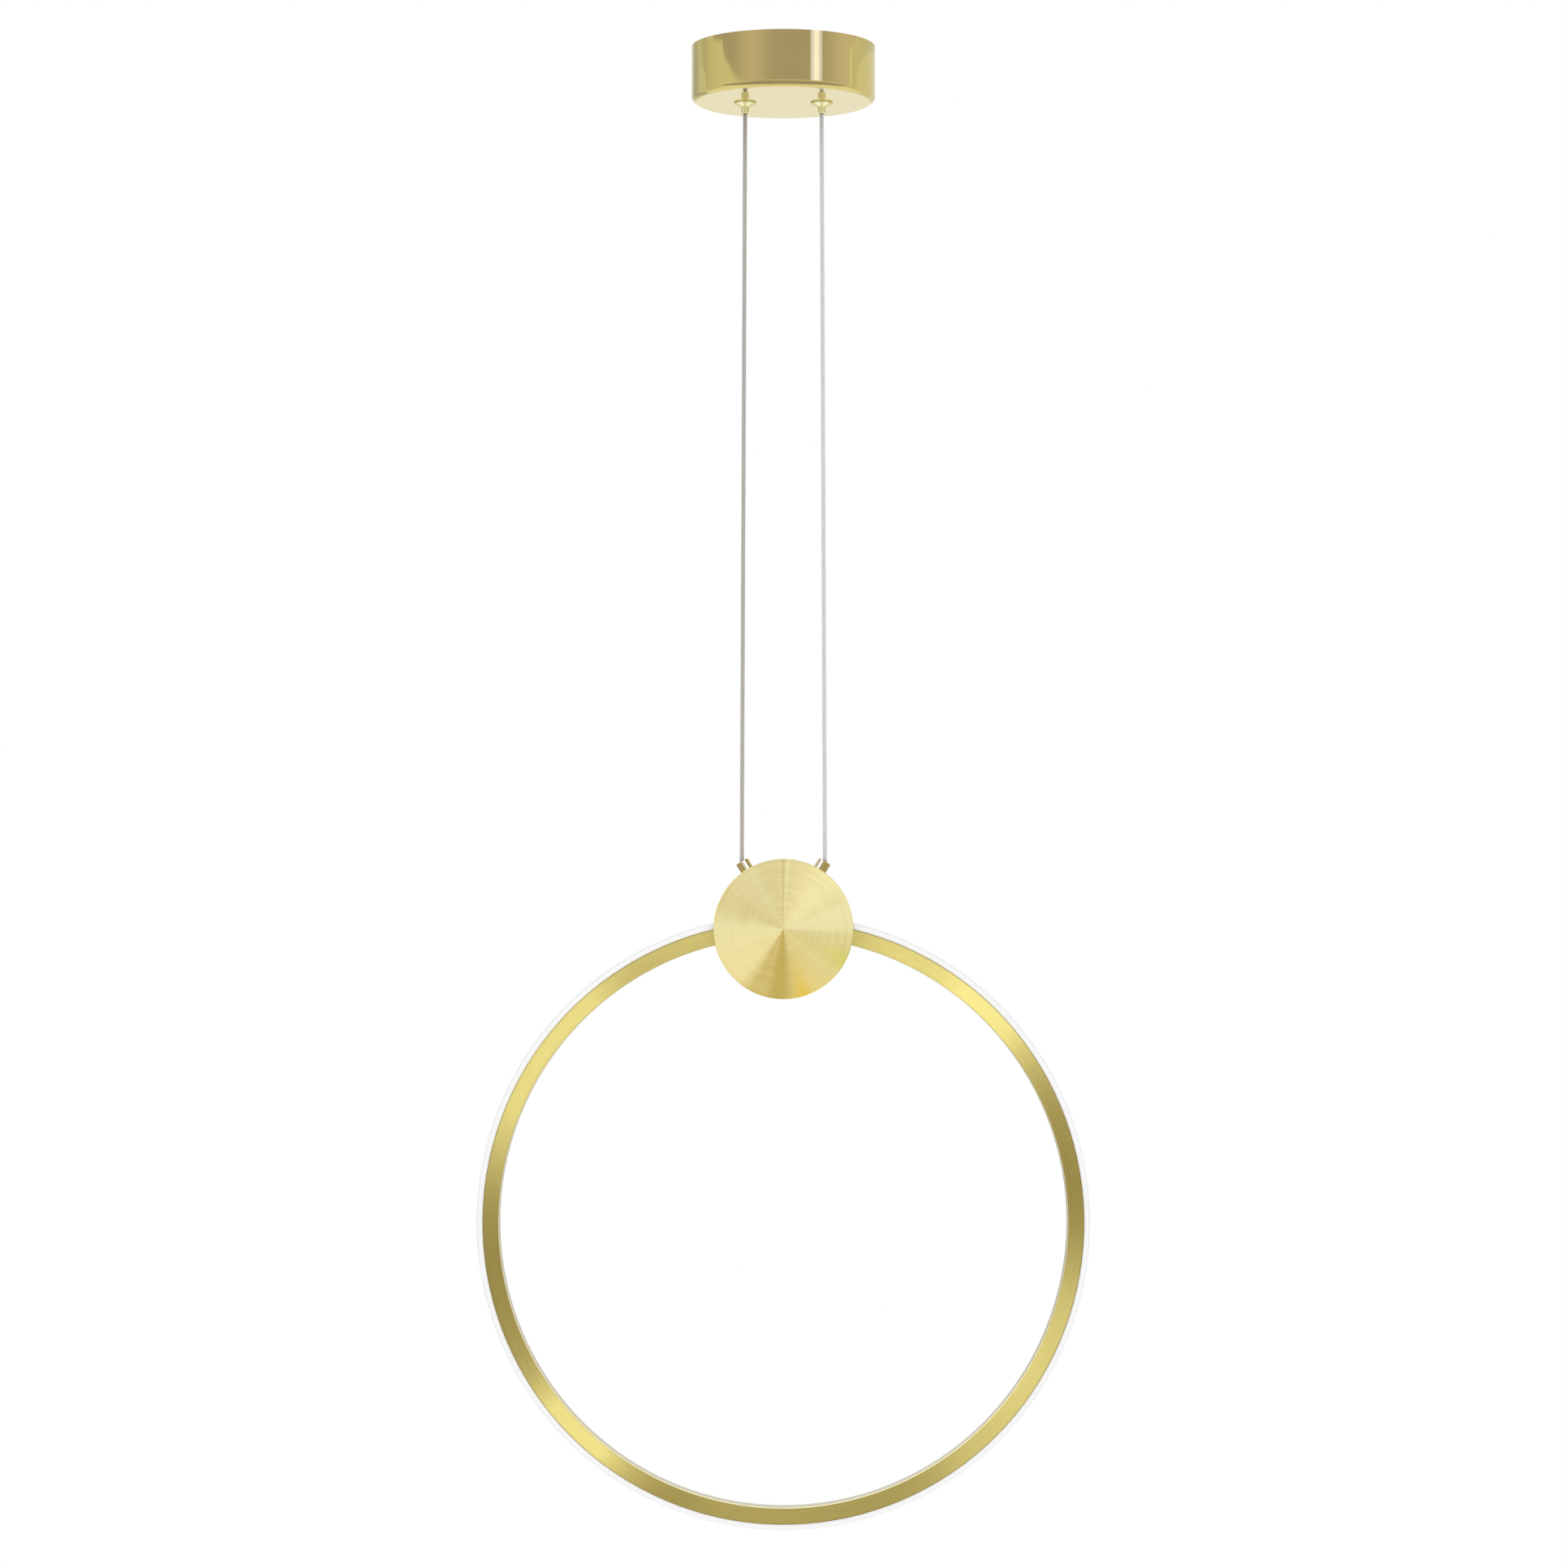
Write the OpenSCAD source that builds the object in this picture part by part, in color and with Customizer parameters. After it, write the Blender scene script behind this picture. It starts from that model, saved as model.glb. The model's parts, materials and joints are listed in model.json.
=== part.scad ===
// Ring pendant light, hung on two cables from a round canopy.
// Origin: centre of the canopy's rim, on the ceiling. +Z up, the shown face looks along -Y. Millimetres.

/* [Canopy] */
// Outside diameter of the canopy cup
canopy_d = 151; // [146:1:200]
// Height of the canopy below the ceiling
canopy_h = 46; // [44:1:70]
// Sheet thickness of the canopy
canopy_wall = 1.2; // [0.8:0.1:2]
// Radius of the rounded bottom edge
canopy_edge_r = 5; // [3:0.5:8]

/* [Ceiling bracket] */
// Thickness of the bracket's steel
bracket_t = 2; // [1.5:0.1:3]
// Width of the bracket's strap
bracket_w = 26; // [20:1:34]
// Diameter of the bracket's round middle
bracket_disc_d = 66; // [60:1:70]
// Distance between the two slots for the box screws
slot_pitch = 84; // [80:1:92]
// Width of each slot
slot_w = 4.6; // [4:0.1:5.5]
// End to end length of each slot
slot_len = 14; // [10:1:16]
// Diameter of the hole for the house wiring
wire_hole_d = 14; // [10:1:16]
// Width of the bent ears that take the set screws
ear_w = 16; // [12:1:20]
// Length of the bent ears below the ceiling
ear_h = 18; // [15:1:24]
// Thread diameter of the canopy's set screws
set_screw_d = 4; // [3:0.5:5]
// Depth of the set screws below the ceiling
set_screw_drop = 11; // [9:0.5:13]

/* [Driver] */
// Length of the LED driver
driver_l = 78; // [70:1:84]
// Width of the LED driver
driver_w = 34; // [30:1:36]
// Height of the LED driver
driver_h = 22; // [18:1:24]
// Wall thickness of the driver's case
driver_wall = 1.6; // [1.2:0.1:2.4]
// Thickness of the driver's foam tape
tape_t = 1; // [0.8:0.1:1.5]

/* [Terminal block] */
// Distance between the poles of the terminal block
pole_pitch = 9; // [8:0.5:10]
// Depth of the terminal block, front to back
block_w = 17; // [15:1:18]
// Height of the terminal block
block_h = 13; // [11:1:15]

/* [Cable grippers] */
// Distance between the two grippers
gripper_pitch = 63; // [60:1:68]
// Diameter of the flange under the canopy
flange_d = 18; // [16:0.5:22]
// Thickness of the flange's rim
flange_t = 1.3; // [1:0.1:2]
// Height of the flange's conical underside
flange_cone_h = 2.1; // [1.8:0.1:3]
// Diameter of the flange's threaded spigot
spigot_d = 10; // [9.6:0.1:11]
// Diameter of the nozzle
nozzle_d = 6; // [5.6:0.1:6.2]
// Length of the nozzle below the flange
nozzle_len = 5.4; // [4:0.2:10]
// Travel of the nozzle; the balls stay in the cone over all of it
nozzle_stroke = 2.5; // [1.5:0.1:3]
// Diameter of the gripper's round body
gripper_body_d = 14; // [13.4:0.1:16]
// Height of the gripper's body
gripper_body_h = 24; // [23:0.5:26]
// Diameter of the gripping balls
ball_d = 2; // [1.8:0.1:2.1]

/* [Cables] */
// Diameter of each cable over its jacket
cable_d = 3.4; // [3:0.1:3.6]

/* [Hub] */
// Distance from the ceiling to the hub's centre
hub_drop = 725.5; // [400:0.5:1500]
// Outside diameter of the hub
hub_d = 114; // [112:1:130]
// Thickness of the hub from front to back
hub_depth = 36; // [35:0.5:50]
// Thickness of the front face and of the rear cover
hub_plate = 2; // [1.5:0.1:3]
// Thickness of the hub's round wall
hub_wall = 2.5; // [2:0.1:4]
// Width of the bevel on the hub's front and rear edges
hub_bevel = 0.6; // [0.3:0.1:1]
// Angle of each cable fitting from the vertical
fitting_angle = 31.5; // [26:0.5:36]
// Diameter of the cable fittings
fitting_d = 11; // [10:0.5:13]
// Length of the fittings outside the hub
fitting_proud = 8; // [6:0.5:12]
// Thread diameter of the fitting's shank
shank_d = 8; // [7.5:0.5:9]

/* [Ring] */
// Outside diameter of the ring over its diffuser
ring_d = 500; // [400:5:900]
// Depth of the ring from front to back
ring_depth = 26; // [24:0.5:30]
// Height of the ring's flat metal band
band_h = 12.9; // [12:0.1:16]
// Sheet thickness of the ring's channel
channel_t = 1.3; // [1:0.1:1.6]
// How far the diffuser stands outside the metal band
diffuser_proud = 5.6; // [4:0.1:8]
// Thickness of the diffuser
diffuser_t = 1.8; // [1.4:0.1:2.2]
// Radius of the diffuser's outer corners
diffuser_edge_r = 2.4; // [1.9:0.1:3]
// Rise of the diffuser's arched outer face from its corners to its middle
diffuser_crown = 0.9; // [0.3:0.1:1.5]
// Number of LEDs round the ring
led_count = 96; // [60:4:120]

/* [Hidden] */
$fn = 96;
ring_fn = 240;

// Named clearances
slide_gap = 0.07;
run_gap = 0.3;
seat_gap = 0.05;
pass_gap = 0.2;
wall_gap = 0.4;

// Canopy and bracket
canopy_r = canopy_d / 2;
canopy_in_r = canopy_r - canopy_wall;
floor_z = -canopy_h + canopy_wall;
ear_x = sqrt(pow(canopy_in_r, 2) - pow(ear_w / 2, 2)) - run_gap;
ear_relief = 1;
wire_hole_rim = 5;
wire_hole_y = bracket_disc_d / 2 - wire_hole_d / 2 - wire_hole_rim;
set_screw_len = 7;
set_screw_sink = 0.3;
socket_depth = 2;
lead_d = 2.2;
lead_bend = 4;
lead_grip = 5;
earth_lead_d = 2;

// Terminal block, hung under the front half of the bracket's round middle
block_end_wall = 1;
block_l = 3 * pole_pitch + 2 * block_end_wall;
block_set_off = 6;
block_y = -block_w / 2 - block_set_off;
block_back_y = block_y + block_w / 2;
block_low_z = -bracket_t - block_h;
block_corner_r = 1.5;
block_notch_r = 1;
lead_z = -bracket_t - block_h * 0.55;
clamp_screw_d = 3.2;
clamp_screw_sink = 1;
clamp_screw_play = 0.3;
clamp_slot = [0.6, 0.9];
block_screw_d = 2.5;
block_screw_head = [4.2, 1.4];
block_screw_sink = 3;
earth_screw_d = 4;
earth_screw_head = [7, 2.6];
lug_d = 8;
lug_t = 0.8;
lug_neck = 3;
earth_x = pole_pitch;
earth_y = 9;

// Driver, lying on the canopy's floor behind the grippers
driver_set_off = 13;
driver_y = gripper_body_d / 2 + driver_w / 2 + driver_set_off;
driver_z = floor_z + tape_t;
driver_top = driver_z + driver_h;
driver_corner_r = 3;
driver_lid_t = 1.8;
lid_lip_h = 1.2;
lid_lip_t = 1.3;
lid_post_d = 6;
lid_post_inset = 5;
lid_screw_d = 2;
lid_screw_len = 9;
lid_screw_head = [4, 1];
tape_inset = 6;
tape_corner_r = 2;
lead_entry_y = driver_y - driver_w / 2 + 9;

// Grippers; heights are above the canopy's underside
gripper_x = gripper_pitch / 2;
cable_r = cable_d / 2;
nozzle_r = nozzle_d / 2;
nozzle_bore_r = cable_r + run_gap;
nozzle_tip_h = 0.5;
nozzle_tip_r = nozzle_bore_r + (nozzle_r - nozzle_bore_r) * 0.4;
flange_low = flange_t + flange_cone_h;
flange_edge = 0.3;
flange_collar_h = 1.4;
flange_nose_r = nozzle_r + 0.8;
ball_r = ball_d / 2;
ball_ring_r = cable_r + seat_gap + ball_r;
cage_shoulder = 0.3;
cage_r = nozzle_r + cage_shoulder;
cage_low = -flange_low + flange_collar_h + seat_gap;
chamber_r = cage_r + 0.1;
thread_r = spigot_d / 2;
spigot_h = 8;
washer_t = 1;
washer_d = 17;
body_base = canopy_wall + washer_t;
body_top = body_base + gripper_body_h;
hex_h = 8;
hex_flats = 16;
cone_base = spigot_h + 0.3;
ball_lift = 3.4;
ball_h = cone_base + ball_lift;
ball_play = 0.12;
ball_turns = [0, 120, 240];
cage_rim = 0.7;
cage_top = ball_h + ball_r + cage_rim;
cone_slope = 0.13;
cone_r = ball_ring_r + ball_r + ball_play - cone_slope * ball_lift;
cone_run_out = 2.1;
cone_h = ball_h - cone_base + ball_r + nozzle_stroke + cone_run_out;
spring_room_r = cone_r + cone_slope * cone_h;
cap_t = 2.4;
cap_edge = 0.6;
cap_spigot_h = 3;
cap_bore_r = cable_r + pass_gap;
spring_wire_d = 0.6;
spring_turns = 5;
spring_sides = 6;
spring_steps = 12;
spring_mean_r = cage_r - spring_wire_d / 2 - 0.2;
spring_low = cage_top + seat_gap;
spring_high = body_top - cap_spigot_h - seat_gap;

// Cables: upper bends over to the driver, free lengths, lower ends inside the hub
mouth_z = -canopy_h - flange_low - nozzle_len;
cable_bend = 7;
cable_straight = 0.5;
cable_top_z = -canopy_h + body_top + cap_t + cable_straight + cable_bend;

// Hub, drawn round its own centre: x right, y up, z towards the shown face
hub_r = hub_d / 2;
hub_in_r = hub_r - hub_wall;
hub_half = hub_depth / 2;
hub_inner_half = hub_half - hub_plate;
centre_mark_d = 1.4;
centre_mark_depth = 0.4;
centre_mark_tip_d = 0.2;
pillar_d = 8;
pillar_inset = 3.5;
pillar_r = hub_in_r - pillar_d / 2 - pillar_inset;
pillar_angles = [0, 120, 240];
cover_screw_d = 3;
cover_screw_len = 10;
cover_screw_head = [6, 1.6];
cover_screw_sink = 0.05;
fitting_seat_r = sqrt(pow(hub_r, 2) - pow(fitting_d / 2 + pass_gap, 2)) - 0.2;
fitting_end_r = hub_r + fitting_proud;
fitting_bore_r = cable_r + 0.8;
fitting_bore_h = 5;
fitting_edge_r = 0.6;
fitting_flare = 0.5;
shank_r = shank_d / 2;
nut_h = 5;
nut_flats = 13;
nut_seat_r = hub_in_r + 0.3;
nut_room_h = nut_h + 2;
shank_past_nut = 3.5;
shank_end_r = nut_seat_r - nut_h - shank_past_nut;
tail_len = 12;
tail_end_r = shank_end_r - tail_len;
ferrule_h = 7;
ferrule_wall = 1.4;
splice_h = 9;
splice_r = cable_r + 0.9;
splice_grip = 3;
splice_end_r = tail_end_r - splice_h + splice_grip;
entry_x = fitting_end_r * sin(fitting_angle);
entry_z = -hub_drop + fitting_end_r * cos(fitting_angle);

// Ring: radii from its own centre, depth along Y; the band's middle passes through the hub's centre
ring_r = ring_d / 2;
band_out_r = ring_r - diffuser_proud;
band_in_r = band_out_r - band_h;
band_mid_r = band_out_r - band_h / 2;
floor_r = band_in_r + channel_t;
ring_half = ring_depth / 2;
channel_half = ring_half - channel_t;
ring_drop = hub_drop + band_mid_r;
band_bevel = 0.3;
lip_h = 1.3;
lip_w = 0.8;
lip_r = band_out_r - 2 * lip_h;
lip_play = 0.4;
diffuser_half = channel_half - 0.1;
corner_half = diffuser_half - diffuser_edge_r;
crown_r = (pow(corner_half, 2) + pow(diffuser_crown, 2)) / (2 * diffuser_crown);
crown_middle_r = ring_r - crown_r;
crown_turn = asin(corner_half / (crown_r - diffuser_edge_r));
corner_r = crown_middle_r + (crown_r - diffuser_edge_r) * cos(crown_turn);
leg_h = 5;
leg_foot_r = band_out_r - leg_h;
end_x = 30;
end_angle = asin(end_x / band_mid_r);
window_reach = 8;
window_angle = asin((hub_r + window_reach) / band_in_r);
window_start = asin((hub_in_r - window_reach) / band_out_r);
diffuser_angle = asin((hub_in_r - 3.5) / ring_r);
bridge_h = 7;
bridge_low_r = floor_r + 0.1;
bridge_mid_r = bridge_low_r + bridge_h / 2;
bridge_high_r = bridge_low_r + bridge_h;
bridge_half = channel_half - 0.2;
bridge_angle = asin((hub_in_r - 7) / band_mid_r);
bridge_bolt_x = 12;
bridge_bolt_angle = asin(bridge_bolt_x / bridge_mid_r);
bridge_bolt_d = 4;
bridge_bolt_head = [7, 3.6];
bridge_bolt_spare = 0.5;
end_screw_d = 3;
end_screw_head = [5.6, 1.8];
end_screw_angle = (end_angle + bridge_angle) / 2;
end_screw_len = 8;
boss_d = 9;
strip_t = 0.4;
strip_top_r = floor_r + seat_gap + strip_t;
strip_half = 5;
strip_angle = asin((hub_r + 2) / band_in_r);
led_size = [3.5, 2.8, 0.7];
solder_t = 0.03;
led_first = strip_angle + 1;
led_step = (360 - 2 * led_first) / (led_count - 1);
led_lead_r = 0.9;
led_lead_rise = 1.2;
led_lead_run_r = bridge_high_r + led_lead_r + led_lead_rise;
lead_turn_len = 2.5;
lead_in_angle = end_angle - 1;
lead_out_angle = strip_angle + 0.4;

// Shared shapes

// Round bar from one point to another
module rod(from, to, r) {
    run = to - from;
    translate(from)
        rotate([0, acos(run.z / norm(run)), atan2(run.y, run.x)])
            cylinder(h = norm(run), r = r);
}

// Quarter bend of a round wire that climbs out of the XY plane at the origin and leaves along +Y
module bend(bend_r, r) {
    translate([0, bend_r, 0])
        rotate([0, 0, 180])
            rotate([90, 0, 90])
                rotate_extrude(angle = 90)
                    translate([bend_r, 0])
                        circle(r = r);
}

// Rounded rectangle centred on the origin
module rounded_plate(size, corner_r) {
    inner = [size.x - 2 * corner_r, size.y - 2 * corner_r];
    square([size.x, inner.y], center = true);
    square([inner.x, size.y], center = true);
    for (x = [-1, 1], y = [-1, 1])
        translate([x * inner.x / 2, y * inner.y / 2])
            circle(r = corner_r);
}

// Hexagonal prism with a hole, standing on the origin
module hex_nut(flats, h, hole_r) {
    difference() {
        cylinder(h = h, d = flats / cos(30), $fn = 6);
        translate([0, 0, -1])
            cylinder(h = h + 2, r = hole_r);
    }
}

// Screw along +Z: the head's seat at the origin, its shank running down; head is its diameter and height
module pan_screw(d, len, head) {
    translate([0, 0, -len])
        cylinder(h = len, d = d);
    difference() {
        cylinder(h = head[1], d = head[0]);
        translate([0, 0, head[1] * 0.4])
            cylinder(h = head[1], d = d * 0.9, $fn = 6);
    }
}

// Countersunk screw along +Z, with the top of its head at the origin
module flat_screw(d, len, head) {
    difference() {
        union() {
            translate([0, 0, -len])
                cylinder(h = len, d = d);
            translate([0, 0, -head[1]])
                cylinder(h = head[1], d1 = d, d2 = head[0]);
        }
        translate([0, 0, -head[1] * 0.6])
            cylinder(h = head[1], d = d * 0.66, $fn = 6);
    }
}

// The underside of the canopy at one gripper, z up
module at_gripper(side) {
    translate([side * gripper_x, 0, -canopy_h])
        children();
}

// The hub's own frame
module at_hub() {
    translate([0, 0, -hub_drop])
        rotate([90, 0, 0])
            children();
}

// On the hub, +Z out along the axis of one cable fitting
module at_fitting(side) {
    at_hub()
        rotate([0, 0, -side * fitting_angle])
            rotate([-90, 0, 0])
                children();
}

// Sweep of a profile round the ring; angles run clockwise from the top, seen from the front
module ring_arc(start, end) {
    translate([0, 0, -ring_drop])
        rotate([90, 0, 0])
            rotate([0, 0, 90 - end])
                rotate_extrude(angle = end - start, $fn = ring_fn)
                    children();
}

// A place on the ring at a clockwise angle from the top: x outwards, z towards the front
module at_ring(angle, r) {
    translate([0, 0, -ring_drop])
        rotate([90, 0, 0])
            rotate([0, 0, 90 - angle])
                translate([r, 0, 0])
                    children();
}

// Canopy and what it holds

module canopy_cup() {
    color([0.72, 0.64, 0.42])
        difference() {
            rotate_extrude()
                difference() {
                    canopy_outline(canopy_r, canopy_h, canopy_edge_r);
                    canopy_outline(canopy_in_r, canopy_h - canopy_wall, canopy_edge_r - canopy_wall);
                }
            for (side = [-1, 1]) {
                at_gripper(side)
                    translate([0, 0, -1])
                        cylinder(h = canopy_wall + 2, r = thread_r + pass_gap);
                translate([side * canopy_in_r, 0, -set_screw_drop])
                    rotate([0, 90, 0])
                        cylinder(h = 6 * canopy_wall, d = set_screw_d + 2 * pass_gap, center = true);
            }
        }
}

// Half section of the cup: open at the ceiling, rounded at the bottom edge
module canopy_outline(r, h, edge_r) {
    translate([0, -h])
        square([r - edge_r, h]);
    translate([0, -h + edge_r])
        square([r, h - edge_r]);
    translate([r - edge_r, -h + edge_r])
        circle(r = edge_r);
}

module ceiling_bracket() {
    color([0.75, 0.76, 0.78])
        difference() {
            union() {
                translate([0, 0, -bracket_t])
                    linear_extrude(bracket_t) {
                        square([2 * ear_x, bracket_w], center = true);
                        circle(d = bracket_disc_d);
                    }
                for (side = [-1, 1])
                    translate([side * (ear_x - bracket_t / 2), 0, -ear_h / 2])
                        cube([bracket_t, ear_w, ear_h], center = true);
            }
            for (side = [-1, 1]) {
                translate([side * slot_pitch / 2, 0, -bracket_t - 1])
                    linear_extrude(bracket_t + 2)
                        slot(slot_len, slot_w);
                translate([side * ear_x, 0, -set_screw_drop])
                    rotate([0, 90, 0])
                        cylinder(h = 3 * bracket_t, d = set_screw_d + 2 * seat_gap, center = true);
                for (y = [-1, 1])
                    translate([side * (ear_x + ear_relief), y * bracket_w / 2, -bracket_t / 2])
                        cylinder(h = bracket_t + 1, r = (bracket_w - ear_w) / 2 + ear_relief, center = true);
            }
            translate([0, wire_hole_y, -bracket_t - 1])
                cylinder(h = bracket_t + 2, d = wire_hole_d);
            for (side = [-1, 1])
                translate([side * pole_pitch / 2, block_y, -bracket_t - 1])
                    cylinder(h = bracket_t + 2, d = block_screw_d + 2 * seat_gap);
            translate([earth_x, earth_y, -bracket_t - 1])
                cylinder(h = bracket_t + 2, d = earth_screw_d + 2 * seat_gap);
        }
}

// Slot with round ends along X
module slot(len, w) {
    square([len - w, w], center = true);
    for (side = [-1, 1])
        translate([side * (len - w) / 2, 0])
            circle(d = w);
}

// Socket set screws, flush with the canopy's wall
module canopy_set_screws() {
    color([0.3, 0.3, 0.31])
        for (side = [-1, 1])
            translate([side * (canopy_r - set_screw_sink), 0, -set_screw_drop])
                rotate([0, side * 90, 0])
                    difference() {
                        translate([0, 0, -set_screw_len])
                            cylinder(h = set_screw_len, d = set_screw_d);
                        translate([0, 0, -socket_depth])
                            cylinder(h = socket_depth + 1, d = set_screw_d / 2, $fn = 6);
                    }
}

module earth_screw() {
    color([0.8, 0.72, 0.4])
        translate([earth_x, earth_y, -bracket_t - lug_t])
            mirror([0, 0, 1])
                pan_screw(earth_screw_d, bracket_t + lug_t - seat_gap, earth_screw_head);
}

// Lug under the earth screw, with the lead that drops from it to the terminal block
module earth_lead() {
    lug_z = -bracket_t - lug_t;
    foot_y = earth_y - lug_d / 2 - earth_lead_d / 2;
    color([0.45, 0.62, 0.2]) {
        difference() {
            translate([earth_x, earth_y, lug_z])
                linear_extrude(lug_t) {
                    circle(d = lug_d);
                    translate([-lug_neck / 2, foot_y - earth_y - earth_lead_d / 2])
                        square([lug_neck, lug_d]);
                }
            translate([earth_x, earth_y, lug_z - 1])
                cylinder(h = lug_t + 2, d = earth_screw_d + 2 * seat_gap);
        }
        rod([earth_x, foot_y, lead_z + lead_bend], [earth_x, foot_y, lug_z], earth_lead_d / 2);
        translate([earth_x, foot_y, lead_z + lead_bend])
            rotate([180, 0, 0])
                bend(lead_bend, earth_lead_d / 2);
        rod([earth_x, block_back_y - lead_grip, lead_z], [earth_x, foot_y - lead_bend, lead_z],
            earth_lead_d / 2);
    }
}

module terminal_block() {
    color([0.9, 0.9, 0.88])
        difference() {
            translate([0, block_y, block_low_z])
                linear_extrude(block_h)
                    difference() {
                        rounded_plate([block_l, block_w], block_corner_r);
                        for (x = [-1, 1], y = [-1, 1])
                            translate([x * pole_pitch / 2, y * block_w / 2])
                                circle(r = block_notch_r);
                    }
            for (side = [-1, 1])
                translate([side * pole_pitch / 2, block_y, block_low_z - 1]) {
                    cylinder(h = block_h + 2, d = block_screw_d + 2 * seat_gap);
                    cylinder(h = block_screw_sink + 1, d = block_screw_head[0] + 2 * pass_gap);
                }
            for (pole = [-1 : 1])
                translate([pole * pole_pitch, 0, 0])
                    clamp_way();
        }
}

// Wire way of one pole, with the two screw wells that meet it from below
module clamp_way() {
    translate([0, block_y + block_w / 2 + 1, lead_z])
        rotate([90, 0, 0])
            cylinder(h = block_w + 2, r = lead_d / 2 + pass_gap);
    for (y = [-1, 1])
        translate([0, block_y + y * block_w / 4, block_low_z - 1])
            cylinder(h = lead_z - block_low_z + 1, d = clamp_screw_d + 2 * seat_gap);
}

module terminal_clamp_screws() {
    color([0.8, 0.8, 0.82])
        for (pole = [-1 : 1], y = [-1, 1])
            translate([pole * pole_pitch, block_y + y * block_w / 4, block_low_z + clamp_screw_sink])
                difference() {
                    cylinder(h = lead_z - lead_d / 2 - clamp_screw_play - block_low_z - clamp_screw_sink,
                        d = clamp_screw_d);
                    cube([clamp_screw_d + 1, clamp_slot[0], 2 * clamp_slot[1]], center = true);
                }
}

module block_screws() {
    color([0.8, 0.8, 0.82])
        for (side = [-1, 1])
            translate([side * pole_pitch / 2, block_y, block_low_z + block_screw_sink])
                mirror([0, 0, 1])
                    pan_screw(block_screw_d, block_h - block_screw_sink + bracket_t - pass_gap,
                        block_screw_head);
}

// Line and neutral leads from the terminal block, bent down into the driver's lid
module mains_leads() {
    color([0.35, 0.24, 0.2])
        for (x = [-pole_pitch, 0])
            translate([x, 0, 0]) {
                rod([0, block_back_y - lead_grip, lead_z], [0, lead_entry_y - lead_bend, lead_z], lead_d / 2);
                translate([0, lead_entry_y, lead_z - lead_bend])
                    rotate([0, 0, 180])
                        bend(lead_bend, lead_d / 2);
                rod([0, lead_entry_y, driver_top], [0, lead_entry_y, lead_z - lead_bend], lead_d / 2);
            }
}

module driver_case() {
    color([0.93, 0.93, 0.92])
        translate([0, driver_y, driver_z])
            difference() {
                linear_extrude(driver_h - driver_lid_t)
                    rounded_plate([driver_l, driver_w], driver_corner_r);
                translate([0, 0, driver_wall])
                    linear_extrude(driver_h)
                        difference() {
                            rounded_plate([driver_l - 2 * driver_wall, driver_w - 2 * driver_wall],
                                driver_corner_r - driver_wall);
                            lid_posts(lid_post_d);
                        }
                translate([0, 0, 2 * driver_wall])
                    lid_screw_holes(lid_screw_d + 2 * seat_gap);
            }
}

// Posts at two opposite corners that take the lid's screws
module lid_posts(d) {
    at_lid_posts()
        circle(d = d);
}

module lid_screw_holes(d) {
    at_lid_posts()
        cylinder(h = driver_h + 2, d = d);
}

module at_lid_posts() {
    for (side = [-1, 1])
        translate([side * (driver_l / 2 - lid_post_inset), side * (driver_w / 2 - lid_post_inset), 0])
            children();
}

// Lid with a lip that drops inside the case's wall
module driver_lid() {
    lip = [driver_l, driver_w] - 2 * (driver_wall + pass_gap) * [1, 1];
    color([0.9, 0.9, 0.89])
        translate([0, driver_y, driver_top - driver_lid_t])
            difference() {
                union() {
                    linear_extrude(driver_lid_t)
                        rounded_plate([driver_l, driver_w], driver_corner_r);
                    translate([0, 0, -lid_lip_h])
                        linear_extrude(lid_lip_h)
                            difference() {
                                rounded_plate(lip, driver_corner_r - driver_wall);
                                rounded_plate(lip - 2 * lid_lip_t * [1, 1], 1);
                                lid_posts(lid_post_d + 2 * run_gap);
                            }
                }
                translate([0, 0, -lid_lip_h - 1])
                    lid_screw_holes(lid_screw_d + 2 * run_gap);
                translate([0, 0, driver_lid_t - lid_screw_head[1]])
                    lid_screw_holes(lid_screw_head[0] + 2 * run_gap);
            }
}

module driver_lid_screws() {
    color([0.7, 0.7, 0.72])
        translate([0, driver_y, driver_top - lid_screw_head[1]])
            at_lid_posts()
                pan_screw(lid_screw_d, lid_screw_len, lid_screw_head);
}

module driver_tape() {
    color([0.25, 0.25, 0.26])
        translate([0, driver_y, floor_z])
            linear_extrude(tape_t)
                rounded_plate([driver_l - 2 * tape_inset, driver_w - 2 * tape_inset], tape_corner_r);
}

// Cable grippers

module gripper_washers() {
    color([0.8, 0.8, 0.8])
        for (side = [-1, 1])
            at_gripper(side)
                translate([0, 0, canopy_wall])
                    difference() {
                        cylinder(h = washer_t, d = washer_d);
                        translate([0, 0, -1])
                            cylinder(h = washer_t + 2, r = thread_r + pass_gap);
                    }
}

// Body: hexagon at the foot, thread for the flange, ball cone, room for the spring, thread for the cap
module gripper_body(side) {
    color([0.76, 0.68, 0.42])
        at_gripper(side)
            translate([0, 0, body_base])
                difference() {
                    union() {
                        cylinder(h = hex_h, d = hex_flats / cos(30), $fn = 6);
                        cylinder(h = gripper_body_h, d = gripper_body_d);
                    }
                    translate([0, 0, -1])
                        cylinder(h = cone_base - body_base + 1, r = thread_r + seat_gap);
                    translate([0, 0, cone_base - body_base - 0.01])
                        cylinder(h = cone_h + 0.02, r1 = cone_r, r2 = spring_room_r);
                    translate([0, 0, cone_base - body_base + cone_h])
                        cylinder(h = gripper_body_h, r = spring_room_r);
                }
}

module left_gripper_body() {
    gripper_body(-1);
}

module right_gripper_body() {
    gripper_body(1);
}

// Flange seen under the canopy, with the spigot that screws up into the body
module gripper_flange(side) {
    color([0.85, 0.76, 0.45])
        at_gripper(side)
            difference() {
                rotate_extrude()
                    flange_outline();
                translate([0, 0, -flange_low - 1])
                    cylinder(h = flange_collar_h + 2, r = nozzle_r + slide_gap);
                translate([0, 0, -flange_low + flange_collar_h])
                    cylinder(h = spigot_h + flange_low, r = chamber_r);
            }
}

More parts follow.
